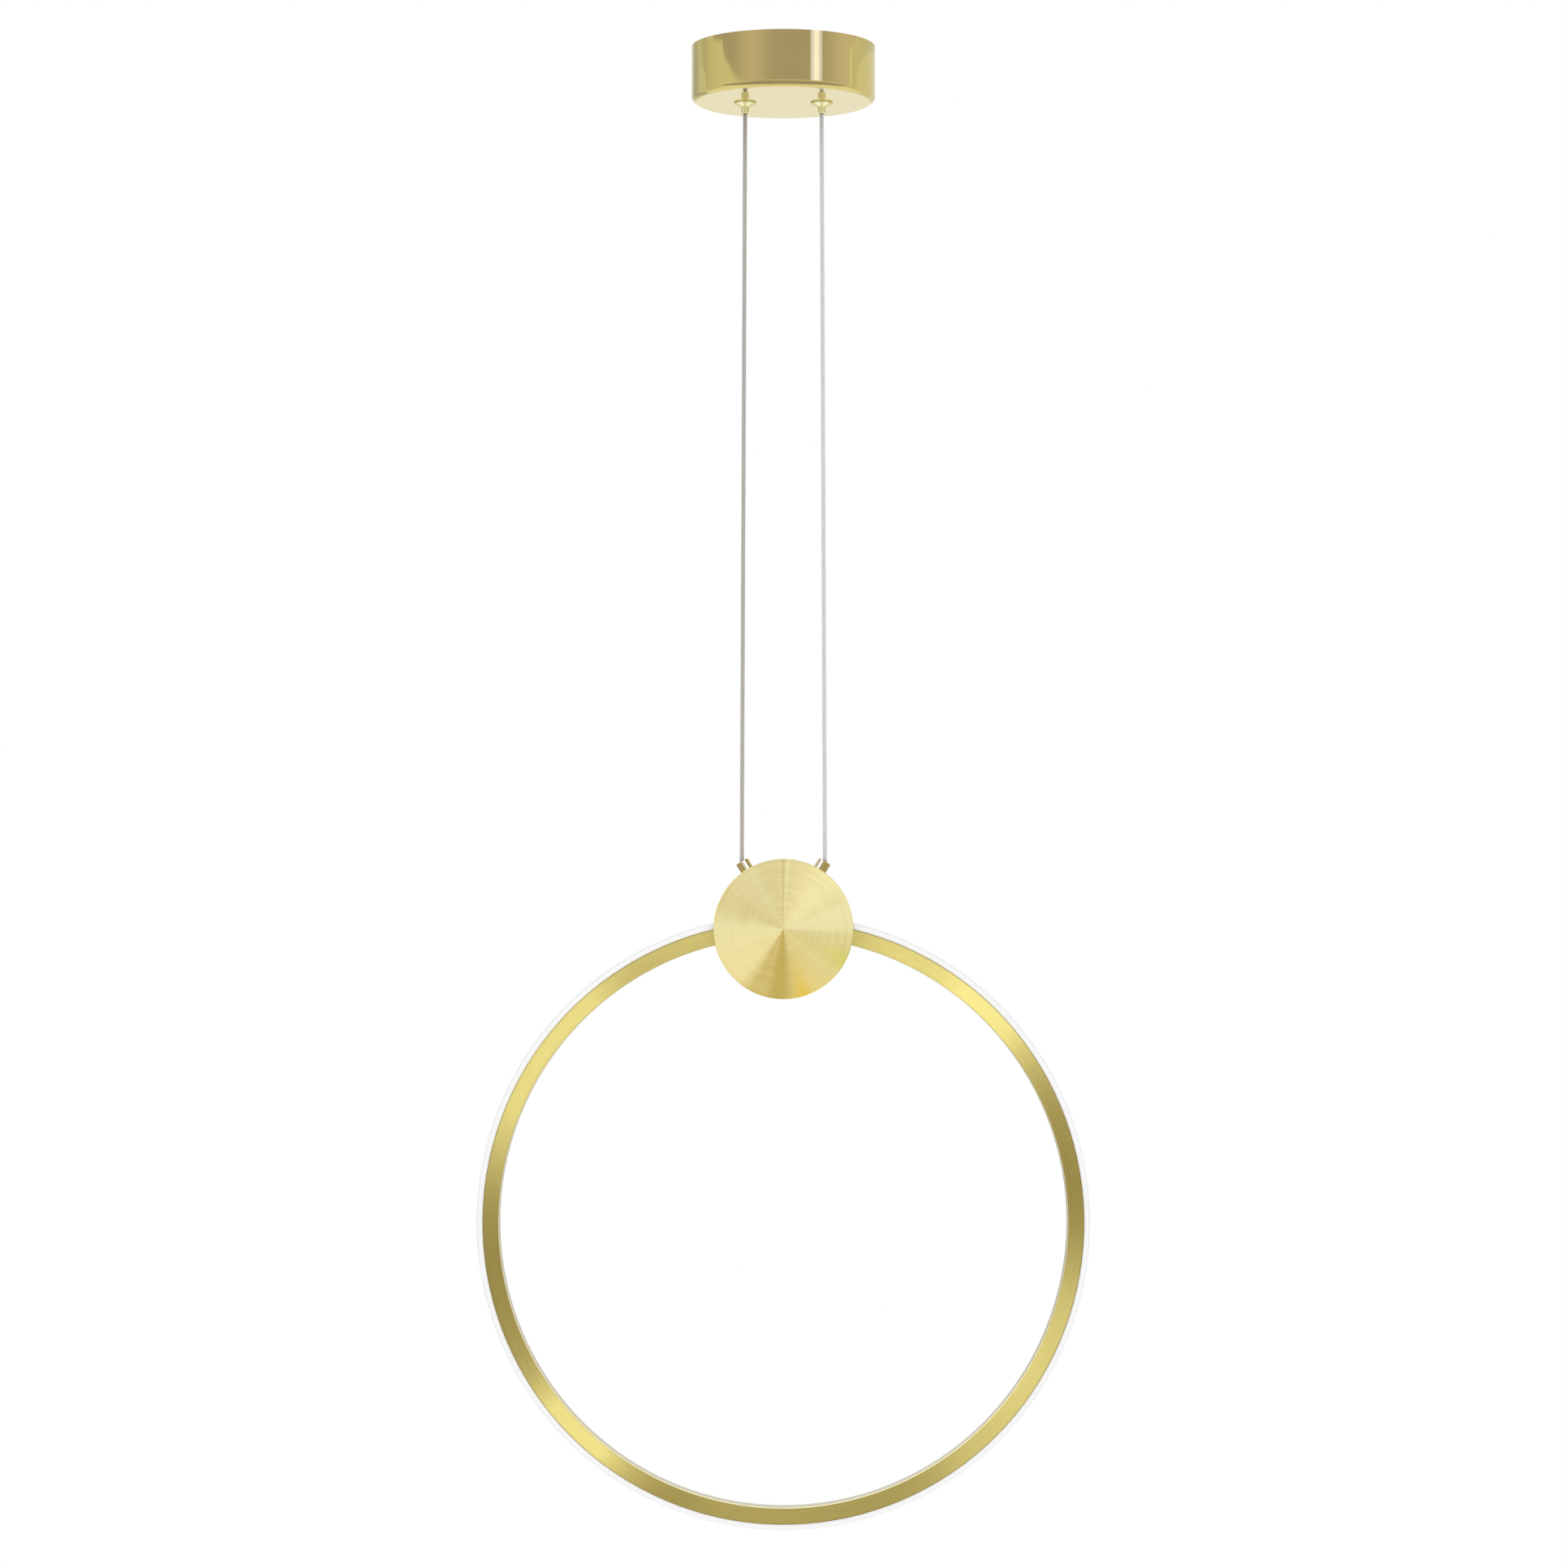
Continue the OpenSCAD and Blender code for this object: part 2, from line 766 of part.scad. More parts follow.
// Half section: a thin rim, a cone down to the nozzle, and the spigot above
module flange_outline() {
    rim_r = flange_d / 2;
    polygon([[0, -flange_low], [flange_nose_r, -flange_low], [rim_r - flange_edge, -flange_t],
        [rim_r, -flange_t + flange_edge], [rim_r, -seat_gap], [thread_r, -seat_gap],
        [thread_r, spigot_h], [0, spigot_h]]);
}

module left_gripper_flange() {
    gripper_flange(-1);
}

module right_gripper_flange() {
    gripper_flange(1);
}

module gripper_caps() {
    color([0.76, 0.68, 0.42])
        for (side = [-1, 1])
            at_gripper(side)
                translate([0, 0, body_top])
                    difference() {
                        union() {
                            cylinder(h = cap_t - cap_edge, d = gripper_body_d);
                            translate([0, 0, cap_t - cap_edge])
                                cylinder(h = cap_edge, d1 = gripper_body_d, d2 = gripper_body_d - 2 * cap_edge);
                            translate([0, 0, -cap_spigot_h])
                                cylinder(h = cap_spigot_h + cap_edge, r = spring_room_r - seat_gap);
                        }
                        translate([0, 0, -cap_spigot_h - 1])
                            cylinder(h = cap_t + cap_spigot_h + 2, r = cap_bore_r);
                    }
}

// Nozzle and ball cage in one: pressing the nozzle lifts the balls out of the cone
module gripper_nozzle(side) {
    low = -flange_low - nozzle_len;
    color([0.85, 0.76, 0.45])
        at_gripper(side)
            difference() {
                union() {
                    translate([0, 0, low])
                        cylinder(h = nozzle_tip_h, r1 = nozzle_tip_r, r2 = nozzle_r);
                    translate([0, 0, low + nozzle_tip_h])
                        cylinder(h = cage_low - low, r = nozzle_r);
                    translate([0, 0, cage_low])
                        cylinder(h = cage_top - cage_low, r = cage_r);
                }
                translate([0, 0, low - 1])
                    cylinder(h = cage_top - low + 2, r = nozzle_bore_r);
                for (turn = ball_turns)
                    rotate([0, 0, turn])
                        translate([0, 0, ball_h])
                            rotate([0, 90, 0])
                                cylinder(h = cage_r + 1, r = ball_r + seat_gap);
            }
}

module left_gripper_nozzle() {
    gripper_nozzle(-1);
}

module right_gripper_nozzle() {
    gripper_nozzle(1);
}

module gripper_balls(side) {
    color([0.8, 0.81, 0.83])
        at_gripper(side)
            for (turn = ball_turns)
                rotate([0, 0, turn])
                    translate([ball_ring_r, 0, ball_h])
                        sphere(r = ball_r, $fn = 48);
}

module left_gripper_balls() {
    gripper_balls(-1);
}

module right_gripper_balls() {
    gripper_balls(1);
}

// Helical spring: one unbroken wire with a closed skin
function spring_point(t, phi, height) =
    let (turn = 360 * spring_turns * t,
        r = spring_mean_r + spring_wire_d / 2 * cos(phi))
    [r * cos(turn), r * sin(turn), height * t + spring_wire_d / 2 * sin(phi)];

module gripper_spring(side) {
    rings = spring_turns * spring_steps;
    height = spring_high - spring_low - spring_wire_d;
    points = [for (i = [0 : rings], k = [0 : spring_sides - 1])
        spring_point(i / rings, 360 * k / spring_sides, height)];
    skin = [for (i = [0 : rings - 1], k = [0 : spring_sides - 1])
        let (next = (k + 1) % spring_sides, a = i * spring_sides)
        each [[a + k, a + spring_sides + k, a + next],
            [a + next, a + spring_sides + k, a + spring_sides + next]]];
    start = [for (k = [0 : spring_sides - 1]) k];
    finish = [for (k = [spring_sides - 1 : -1 : 0]) rings * spring_sides + k];
    echo(spring_gap = height / spring_turns - spring_wire_d);
    color([0.7, 0.71, 0.73])
        at_gripper(side)
            translate([0, 0, spring_low + spring_wire_d / 2])
                polyhedron(points = points, faces = concat(skin, [start, finish]));
}

module left_gripper_spring() {
    gripper_spring(-1);
}

module right_gripper_spring() {
    gripper_spring(1);
}

// Cables

// Stretch inside the gripper, bent over to the driver's lid
module cable_top(side) {
    straight_top = cable_top_z - cable_bend;
    translate([side * gripper_x, 0, 0]) {
        rod([0, 0, mouth_z + cable_r + run_gap], [0, 0, straight_top], cable_r);
        translate([0, 0, straight_top])
            bend(cable_bend, cable_r);
        rod([0, cable_bend, cable_top_z], [0, lead_entry_y - cable_bend, cable_top_z], cable_r);
        translate([0, lead_entry_y, straight_top])
            rotate([0, 0, 180])
                bend(cable_bend, cable_r);
        rod([0, lead_entry_y, driver_top], [0, lead_entry_y, straight_top], cable_r);
    }
}

module left_cable_top() {
    color([0.72, 0.69, 0.66])
        cable_top(-1);
}

module right_cable_top() {
    color([0.86, 0.86, 0.88])
        cable_top(1);
}

// Free stretch between nozzle and hub, round at both swivel points
module free_cable(side) {
    run = [side * (gripper_x - entry_x), 0, mouth_z - entry_z];
    translate([side * entry_x, 0, entry_z])
        rotate([0, atan2(run.x, run.z), 0])
            rotate_extrude()
                round_ended_half(norm(run));
}

// Half outline of a straight cable whose ends are half balls
module round_ended_half(run) {
    intersection() {
        union() {
            square([cable_r, run]);
            for (end = [0, run])
                translate([0, end])
                    circle(r = cable_r);
        }
        translate([0, -cable_r])
            square([cable_d, run + cable_d]);
    }
}

module left_cable() {
    color([0.72, 0.69, 0.66])
        free_cable(-1);
}

module right_cable() {
    color([0.86, 0.86, 0.88])
        free_cable(1);
}

// Stretch inside the fitting and the hub, past the ferrule to the splice
module cable_end(side) {
    at_fitting(side)
        translate([0, 0, tail_end_r])
            cylinder(h = fitting_end_r - cable_r - run_gap - tail_end_r, r = cable_r);
}

module left_cable_end() {
    color([0.72, 0.69, 0.66])
        cable_end(-1);
}

module right_cable_end() {
    color([0.86, 0.86, 0.88])
        cable_end(1);
}

// Hub

// Turned shell: front face, round wall, three pillars and two bosses, with windows for the ring
module hub_shell() {
    color([0.87, 0.78, 0.5])
        difference() {
            at_hub()
                difference() {
                    union() {
                        hub_cup();
                        for (angle = pillar_angles)
                            rotate([0, 0, -angle])
                                translate([0, pillar_r, -hub_inner_half])
                                    cylinder(h = 2 * hub_inner_half + 1, d = pillar_d);
                    }
                    for (angle = pillar_angles)
                        rotate([0, 0, -angle])
                            translate([0, pillar_r, -hub_inner_half - 1])
                                cylinder(h = cover_screw_len + 2, d = cover_screw_d + 2 * seat_gap);
                    translate([0, 0, hub_half - centre_mark_depth])
                        cylinder(h = 2 * centre_mark_depth, d1 = centre_mark_tip_d,
                            d2 = 2 * centre_mark_d - centre_mark_tip_d);
                }
            fitting_cuts(-1);
            fitting_cuts(1);
            ring_arc(window_start, window_angle)
                ring_opening();
            ring_arc(-window_angle, -window_start)
                ring_opening();
        }
    color([0.87, 0.78, 0.5])
        for (side = [-1, 1])
            at_ring(side * bridge_bolt_angle, bridge_mid_r)
                bridge_boss();
}

module hub_cup() {
    rotate_extrude()
        polygon([[0, hub_half], [hub_r - hub_bevel, hub_half], [hub_r, hub_half - hub_bevel],
            [hub_r, -hub_inner_half], [hub_in_r, -hub_inner_half], [hub_in_r, hub_inner_half],
            [0, hub_inner_half]]);
}

// Seat, hole and inner flat for one cable fitting
module fitting_cuts(side) {
    at_fitting(side) {
        translate([0, 0, fitting_seat_r])
            cylinder(h = hub_wall, d = fitting_d + 2 * pass_gap);
        translate([0, 0, hub_r - 2 * hub_wall])
            cylinder(h = 3 * hub_wall, r = shank_r + pass_gap);
        translate([0, 0, nut_seat_r - nut_room_h])
            cylinder(h = nut_room_h, d = nut_flats / cos(30) + 2 * wall_gap);
    }
}

// The ring's outline with room to slide in
module ring_opening() {
    translate([band_in_r - wall_gap, -ring_half - wall_gap])
        square([ring_r - band_in_r + 2 * wall_gap, ring_depth + 2 * wall_gap]);
}

// Threaded boss on the front face that the bridge is bolted to
module bridge_boss() {
    base = bridge_half + seat_gap;
    difference() {
        translate([0, 0, base])
            cylinder(h = hub_inner_half - base + 0.5, d = boss_d);
        translate([0, 0, base - 1])
            cylinder(h = hub_inner_half - base + 1, d = bridge_bolt_d + 2 * seat_gap);
    }
}

module hub_rear_cover() {
    color([0.87, 0.78, 0.5])
        at_hub()
            difference() {
                rotate_extrude()
                    polygon([[0, -hub_half], [hub_r - hub_bevel, -hub_half],
                        [hub_r, -hub_half + hub_bevel], [hub_r, -hub_inner_half], [0, -hub_inner_half]]);
                for (angle = pillar_angles)
                    rotate([0, 0, -angle])
                        translate([0, pillar_r, 0]) {
                            translate([0, 0, -hub_half - 1])
                                cylinder(h = hub_plate + 2, d = cover_screw_d + 2 * pass_gap);
                            translate([0, 0, -hub_half])
                                mirror([0, 0, 1])
                                    countersink();
                        }
            }
}

// Cone for a cover screw's head, open at its top and a little wider than the head
module countersink() {
    depth = cover_screw_head[1] + cover_screw_sink;
    translate([0, 0, -depth])
        cylinder(h = 2 * depth, d1 = cover_screw_d + pass_gap,
            d2 = 2 * cover_screw_head[0] - cover_screw_d + 3 * pass_gap);
}

module hub_cover_screws() {
    color([0.8, 0.72, 0.45])
        at_hub()
            for (angle = pillar_angles)
                rotate([0, 0, -angle])
                    translate([0, pillar_r, -hub_half + cover_screw_sink])
                        mirror([0, 0, 1])
                            flat_screw(cover_screw_d, cover_screw_len, cover_screw_head);
}

// Turned barrel outside the hub, threaded shank inside, stepped bore for the cable
module cable_fitting(side) {
    color([0.7, 0.6, 0.32])
        at_fitting(side)
            difference() {
                rotate_extrude()
                    fitting_outline();
                translate([0, 0, shank_end_r - 1])
                    cylinder(h = fitting_end_r - shank_end_r + 2, r = cable_r + pass_gap);
                translate([0, 0, fitting_end_r - fitting_bore_h])
                    cylinder(h = fitting_bore_h + 1, r = fitting_bore_r);
                translate([0, 0, fitting_end_r - fitting_flare])
                    cylinder(h = 2 * fitting_flare, r1 = fitting_bore_r, r2 = fitting_bore_r + 2 * fitting_flare);
            }
}

module fitting_outline() {
    seat = fitting_seat_r + seat_gap;
    translate([0, shank_end_r])
        square([shank_r, fitting_end_r - shank_end_r]);
    translate([0, seat])
        square([fitting_d / 2, fitting_end_r - seat - fitting_edge_r]);
    translate([0, seat])
        square([fitting_d / 2 - fitting_edge_r, fitting_end_r - seat]);
    translate([fitting_d / 2 - fitting_edge_r, fitting_end_r - fitting_edge_r])
        circle(r = fitting_edge_r);
}

module left_cable_fitting() {
    cable_fitting(-1);
}

module right_cable_fitting() {
    cable_fitting(1);
}

module fitting_nuts() {
    color([0.8, 0.8, 0.8])
        for (side = [-1, 1])
            at_fitting(side)
                translate([0, 0, nut_seat_r - nut_h - seat_gap])
                    hex_nut(nut_flats, nut_h, shank_r + seat_gap);
}

// Crimped sleeves that stop the cables from pulling out of the hub
module cable_ferrules() {
    color([0.78, 0.78, 0.8])
        for (side = [-1, 1])
            at_fitting(side)
                translate([0, 0, shank_end_r - ferrule_h - seat_gap])
                    difference() {
                        cylinder(h = ferrule_h, r = cable_r + ferrule_wall);
                        translate([0, 0, -1])
                            cylinder(h = ferrule_h + 2, r = cable_r + seat_gap);
                    }
}

// Insulated splices where the cables meet the ring's leads
module lead_splices() {
    color([0.75, 0.2, 0.18])
        for (side = [-1, 1])
            at_fitting(side)
                translate([0, 0, splice_end_r])
                    difference() {
                        cylinder(h = splice_h, r = splice_r);
                        translate([0, 0, splice_h - splice_grip])
                            cylinder(h = splice_grip + 1, r = cable_r + seat_gap);
                    }
}

// From each splice into the channel's end, over the bridge and down to the LED strip
module led_leads() {
    color([0.6, 0.15, 0.15])
        for (side = [-1, 1]) {
            lead_turn = on_fitting_axis(side, splice_end_r - lead_turn_len);
            channel_in = ring_point(side * lead_in_angle, led_lead_run_r);
            channel_out = ring_point(side * lead_out_angle, led_lead_run_r);
            rod(on_fitting_axis(side, splice_end_r - seat_gap), lead_turn, led_lead_r);
            lead_knee(lead_turn);
            rod(lead_turn, channel_in, led_lead_r);
            lead_knee(channel_in);
            rod(channel_in, channel_out, led_lead_r);
            lead_knee(channel_out);
            rod(channel_out, ring_point(side * lead_out_angle, strip_top_r + seat_gap), led_lead_r);
        }
}

module lead_knee(place) {
    translate(place)
        sphere(r = led_lead_r + 0.1, $fn = 32);
}

function on_fitting_axis(side, r) =
    [side * r * sin(fitting_angle), 0, -hub_drop + r * cos(fitting_angle)];

function ring_point(angle, r) = [r * sin(angle), 0, -ring_drop + r * cos(angle)];

// Ring

// Outward facing channel: two flat bands, an inner floor, and lips that hold the diffuser
module ring_channel() {
    color([0.71, 0.63, 0.35])
        difference() {
            ring_arc(end_angle, 360 - end_angle)
                channel_outline();
            for (side = [-1, 1])
                at_ring(side * end_screw_angle, bridge_mid_r)
                    translate([0, 0, -ring_half - 1])
                        cylinder(h = channel_t + 2, d = end_screw_d + 2 * pass_gap);
        }
}

module channel_outline() {
    difference() {
        polygon([[band_in_r, -ring_half + band_bevel], [band_in_r + band_bevel, -ring_half],
            [band_out_r - band_bevel, -ring_half], [band_out_r, -ring_half + band_bevel],
            [band_out_r, ring_half - band_bevel], [band_out_r - band_bevel, ring_half],
            [band_in_r + band_bevel, ring_half], [band_in_r, ring_half - band_bevel]]);
        translate([floor_r, -channel_half])
            square([band_h, 2 * channel_half]);
    }
    for (side = [-1, 1])
        translate([lip_r, side * (channel_half - lip_w / 2)])
            square([lip_h, lip_w + seat_gap], center = true);
}

// Opal cover with two sprung legs that snap behind the channel's lips
module ring_diffuser() {
    color([0.95, 0.95, 0.95])
        ring_arc(diffuser_angle, 360 - diffuser_angle)
            difference() {
                diffuser_outline(0);
                diffuser_outline(diffuser_t);
                for (side = [-1, 1])
                    translate([lip_r, side * diffuser_half])
                        square([lip_h + lip_play, 2 * lip_w], center = true);
            }
}

// Outline of the diffuser's section or, with an inset, of its hollow: arched face, two round corners, open feet
module diffuser_outline(inset) {
    half = diffuser_half - inset;
    round_r = diffuser_edge_r - inset;
    arch_half = corner_half + round_r * sin(crown_turn);
    translate([leg_foot_r - inset, -half])
        square([corner_r - leg_foot_r + inset, 2 * half]);
    intersection() {
        translate([crown_middle_r, 0])
            circle(r = crown_r - inset, $fn = ring_fn);
        translate([leg_foot_r, -arch_half])
            square([crown_r, 2 * arch_half]);
    }
    for (side = [-1, 1])
        translate([corner_r, side * corner_half])
            circle(r = round_r);
}

module led_strip() {
    color([0.93, 0.9, 0.8])
        ring_arc(strip_angle, 360 - strip_angle)
            translate([strip_top_r - strip_t, -strip_half])
                square([strip_t, 2 * strip_half]);
}

module leds() {
    color([0.95, 0.85, 0.45])
        for (i = [0 : led_count - 1])
            at_ring(led_first + i * led_step, strip_top_r + led_size.z / 2 + solder_t)
                cube([led_size.z, led_size.y, led_size.x], center = true);
}

// Curved bar inside the hub that joins the ring's two ends
module ring_bridge() {
    color([0.7, 0.7, 0.72])
        difference() {
            ring_arc(-bridge_angle, bridge_angle)
                translate([bridge_low_r, -bridge_half])
                    square([bridge_h, 2 * bridge_half]);
            for (side = [-1, 1]) {
                at_ring(side * bridge_bolt_angle, bridge_mid_r)
                    cylinder(h = ring_depth, d = bridge_bolt_d + 2 * pass_gap, center = true);
                at_ring(side * end_screw_angle, bridge_mid_r)
                    translate([0, 0, -ring_half])
                        cylinder(h = end_screw_len + 1, d = end_screw_d + 2 * seat_gap);
            }
        }
}

module bridge_bolts() {
    shank = bridge_half + hub_inner_half - bridge_bolt_spare;
    color([0.75, 0.75, 0.77])
        for (side = [-1, 1])
            at_ring(side * bridge_bolt_angle, bridge_mid_r)
                translate([0, 0, -bridge_half])
                    mirror([0, 0, 1])
                        pan_screw(bridge_bolt_d, shank, bridge_bolt_head);
}

module ring_end_screws() {
    color([0.75, 0.75, 0.77])
        for (side = [-1, 1])
            at_ring(side * end_screw_angle, bridge_mid_r)
                translate([0, 0, -ring_half])
                    mirror([0, 0, 1])
                        pan_screw(end_screw_d, end_screw_len, end_screw_head);
}

canopy_cup();
ceiling_bracket();
canopy_set_screws();
earth_screw();
earth_lead();
terminal_block();
terminal_clamp_screws();
block_screws();
mains_leads();
driver_case();
driver_lid();
driver_lid_screws();
driver_tape();
gripper_washers();
left_gripper_body();
right_gripper_body();
left_gripper_flange();
right_gripper_flange();
gripper_caps();
left_cable_top();
right_cable_top();
left_gripper_spring();
right_gripper_spring();
left_gripper_nozzle();
right_gripper_nozzle();
left_gripper_balls();
right_gripper_balls();
left_cable();
right_cable();
hub_shell();
hub_rear_cover();
hub_cover_screws();
left_cable_fitting();
right_cable_fitting();
fitting_nuts();
left_cable_end();
right_cable_end();
cable_ferrules();
lead_splices();
led_leads();
ring_bridge();
bridge_bolts();
ring_end_screws();
ring_channel();
led_strip();
leds();
ring_diffuser();
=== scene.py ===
"""Looks of the ring pendant light: brass canopy, two clear cables, turned hub, ring with an opal edge.

Everything is in metres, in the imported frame: its origin is on the ceiling at the canopy's centre, and the
shown face looks along -Y.
"""

import json
import math

import bmesh
import bpy
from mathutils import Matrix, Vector

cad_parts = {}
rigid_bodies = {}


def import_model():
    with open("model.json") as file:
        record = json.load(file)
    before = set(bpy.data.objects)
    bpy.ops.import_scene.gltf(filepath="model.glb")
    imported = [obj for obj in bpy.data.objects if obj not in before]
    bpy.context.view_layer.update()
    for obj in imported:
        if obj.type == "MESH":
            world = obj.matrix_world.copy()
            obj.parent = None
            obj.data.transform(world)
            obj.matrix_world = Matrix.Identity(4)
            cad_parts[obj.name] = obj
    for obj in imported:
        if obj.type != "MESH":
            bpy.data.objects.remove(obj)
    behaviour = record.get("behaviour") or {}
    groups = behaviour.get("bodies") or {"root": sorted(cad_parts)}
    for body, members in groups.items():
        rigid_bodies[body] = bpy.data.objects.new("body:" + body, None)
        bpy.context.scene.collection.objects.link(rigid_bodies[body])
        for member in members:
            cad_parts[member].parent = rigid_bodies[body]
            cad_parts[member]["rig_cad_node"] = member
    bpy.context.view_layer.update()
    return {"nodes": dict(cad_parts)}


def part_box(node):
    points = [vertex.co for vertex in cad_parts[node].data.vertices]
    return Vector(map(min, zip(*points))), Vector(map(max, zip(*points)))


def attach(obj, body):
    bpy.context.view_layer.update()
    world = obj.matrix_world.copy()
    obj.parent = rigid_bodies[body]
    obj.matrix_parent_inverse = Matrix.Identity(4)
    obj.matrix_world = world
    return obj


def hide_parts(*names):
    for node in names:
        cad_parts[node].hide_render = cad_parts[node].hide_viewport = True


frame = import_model()
nodes = frame["nodes"]

# Camera, fitted to the photograph's 1932 by 1932 frame
IMAGE_PX = 1932
FOCAL_PX = 5743
SENSOR_MM = 36
CAMERA_PLACE = (0.0005, -3.8095, -0.756)
CAMERA_PITCH = math.radians(2.243)

# Places on the object, read from the frame
HUB_LOW, HUB_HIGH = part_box("hub_shell")
HUB_CENTRE = Vector((0, 0, (HUB_LOW.z + HUB_HIGH.z) / 2))
HUB_RADIUS = (HUB_HIGH.x - HUB_LOW.x) / 2
RING_LOW, RING_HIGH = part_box("ring_diffuser")
RING_RADIUS = (RING_HIGH.x - RING_LOW.x) / 2
RING_CENTRE = Vector((0, 0, RING_LOW.z + RING_RADIUS))
CHANNEL_LOW, CHANNEL_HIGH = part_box("ring_channel")
BAND_HEIGHT = 0.0129
BAND_MIDDLE = (CHANNEL_HIGH.x - CHANNEL_LOW.x) / 2 - BAND_HEIGHT / 2
DIFFUSER_RISE = RING_RADIUS - (CHANNEL_HIGH.x - CHANNEL_LOW.x) / 2


def clear_start():
    """Removes what Blender starts with, apart from the frame."""
    for thing in list(bpy.context.scene.objects):
        if "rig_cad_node" not in thing and not thing.name.startswith("body:"):
            bpy.data.objects.remove(thing)


def add_camera():
    data = bpy.data.cameras.new("camera")
    data.sensor_width = SENSOR_MM
    data.lens = FOCAL_PX * SENSOR_MM / IMAGE_PX
    data.clip_start, data.clip_end = 0.05, 60
    camera = bpy.data.objects.new("camera", data)
    camera.location = CAMERA_PLACE
    camera.rotation_euler = (math.pi / 2 + CAMERA_PITCH, 0, 0)
    bpy.context.scene.collection.objects.link(camera)
    bpy.context.scene.camera = camera


# Node helpers

class Nodes:
    """A material's or world's node tree, with short calls for what the finishes share."""

    def __init__(self, tree):
        self.tree = tree
        tree.nodes.clear()

    def add(self, kind, **settings):
        node = self.tree.nodes.new(kind)
        for name, value in settings.items():
            setattr(node, name, value)
        return node

    def link(self, source, target):
        self.tree.links.new(source, target)

    def set(self, node, **inputs):
        for name, value in inputs.items():
            node.inputs[name.replace("_", " ")].default_value = value

    def math(self, operation, *values):
        node = self.add("ShaderNodeMath", operation=operation)
        for socket, value in zip(node.inputs, values):
            if isinstance(value, (int, float)):
                socket.default_value = value
            else:
                self.link(value, socket)
        return node.outputs[0]

    def scaled(self, value, low, high):
        """A value from 0 to 1 taken to the span from low to high."""
        return self.math("ADD", self.math("MULTIPLY", value, high - low), low)

    def noise(self, vector, scale, detail=3.0, roughness=0.5):
        node = self.add("ShaderNodeTexNoise")
        self.set(node, Scale=scale, Detail=detail, Roughness=roughness)
        self.link(vector, node.inputs["Vector"])
        return node.outputs["Fac"]

    def object_point(self):
        return self.add("ShaderNodeTexCoord").outputs["Object"]

    def stretched(self, vector, factors):
        node = self.add("ShaderNodeVectorMath", operation="MULTIPLY")
        self.link(vector, node.inputs[0])
        node.inputs[1].default_value = factors
        return node.outputs[0]

    def mix(self, factor, first, second):
        """Colour between two colours; each may be a tuple or a socket."""
        node = self.add("ShaderNodeMix", data_type="RGBA")
        if isinstance(factor, (int, float)):
            node.inputs[0].default_value = factor
        else:
            self.link(factor, node.inputs[0])
        for socket, value in ((node.inputs[6], first), (node.inputs[7], second)):
            if isinstance(value, tuple):
                socket.default_value = (*value, 1)
            else:
                self.link(value, socket)
        return node.outputs[2]

    def round_point(self, centre, axis):
        """(radius, angle, depth) of a point round an axis, "Y" or "Z", through a centre."""
        moved = self.add("ShaderNodeVectorMath", operation="SUBTRACT")
        self.link(self.object_point(), moved.inputs[0])
        moved.inputs[1].default_value = centre
        split = self.add("ShaderNodeSeparateXYZ")
        self.link(moved.outputs[0], split.inputs[0])
        x, y, z = split.outputs
        across, depth = (z, y) if axis == "Y" else (y, z)
        radius = self.math("SQRT", self.math("ADD", self.math("MULTIPLY", x, x),
                                             self.math("MULTIPLY", across, across)))
        return radius, self.math("ARCTAN2", x, across), depth

    def wedge(self, angle, middle, half_width):
        """1 at one angle clockwise from the top, and a half at half_width to either side; both in degrees."""
        sharpness = math.log(0.5) / math.log(math.cos(math.radians(half_width)))
        facing = self.math("COSINE", self.math("SUBTRACT", angle, math.radians(middle)))
        return self.math("POWER", self.math("MAXIMUM", facing, 0.0), sharpness)

    def wedges(self, angle, base, parts, most=1.0):
        """Sum of soft wedges, each (middle, half width, gain), kept from 0 to most."""
        total = base
        for middle, half_width, gain in parts:
            total = self.math("MULTIPLY_ADD", self.wedge(angle, middle, half_width), gain, total)
        return self.math("MINIMUM", self.math("MAXIMUM", total, 0.0), most)

    def joined(self, x, y, z):
        node = self.add("ShaderNodeCombineXYZ")
        for socket, value in zip(node.inputs, (x, y, z)):
            if isinstance(value, (int, float)):
                socket.default_value = value
            else:
                self.link(value, socket)
        return node.outputs[0]

    def bump(self, height, distance):
        node = self.add("ShaderNodeBump")
        self.set(node, Strength=1.0, Distance=distance)
        self.link(height, node.inputs["Height"])
        return node.outputs["Normal"]


def new_material(name, colour, **settings):
    """A material with one Principled shader; settings are that shader's own constants."""
    material = bpy.data.materials.new(name)
    material.use_nodes = True
    tree = Nodes(material.node_tree)
    shader = tree.add("ShaderNodeBsdfPrincipled")
    output = tree.add("ShaderNodeOutputMaterial")
    tree.link(shader.outputs[0], output.inputs["Surface"])
    shader.inputs["Base Color"].default_value = (*colour, 1)
    tree.set(shader, **settings)
    return material, tree, shader


def mottled(tree, shader, colour, other, scale, roughness, grain=None):
    """Base colour and roughness that wander softly, and a fine grain in the normal if one is given."""
    point = tree.object_point()
    patch = tree.noise(point, scale)
    tree.link(tree.mix(patch, colour, other), shader.inputs["Base Color"])
    tree.link(tree.scaled(tree.noise(point, scale * 3), *roughness), shader.inputs["Roughness"])
    if grain:
        size, height = grain
        tree.link(tree.bump(tree.noise(point, size, detail=6), height), shader.inputs["Normal"])


# Metals

# How fast the worked lines change along themselves, per radian
LINE_CHANGE = 1.3


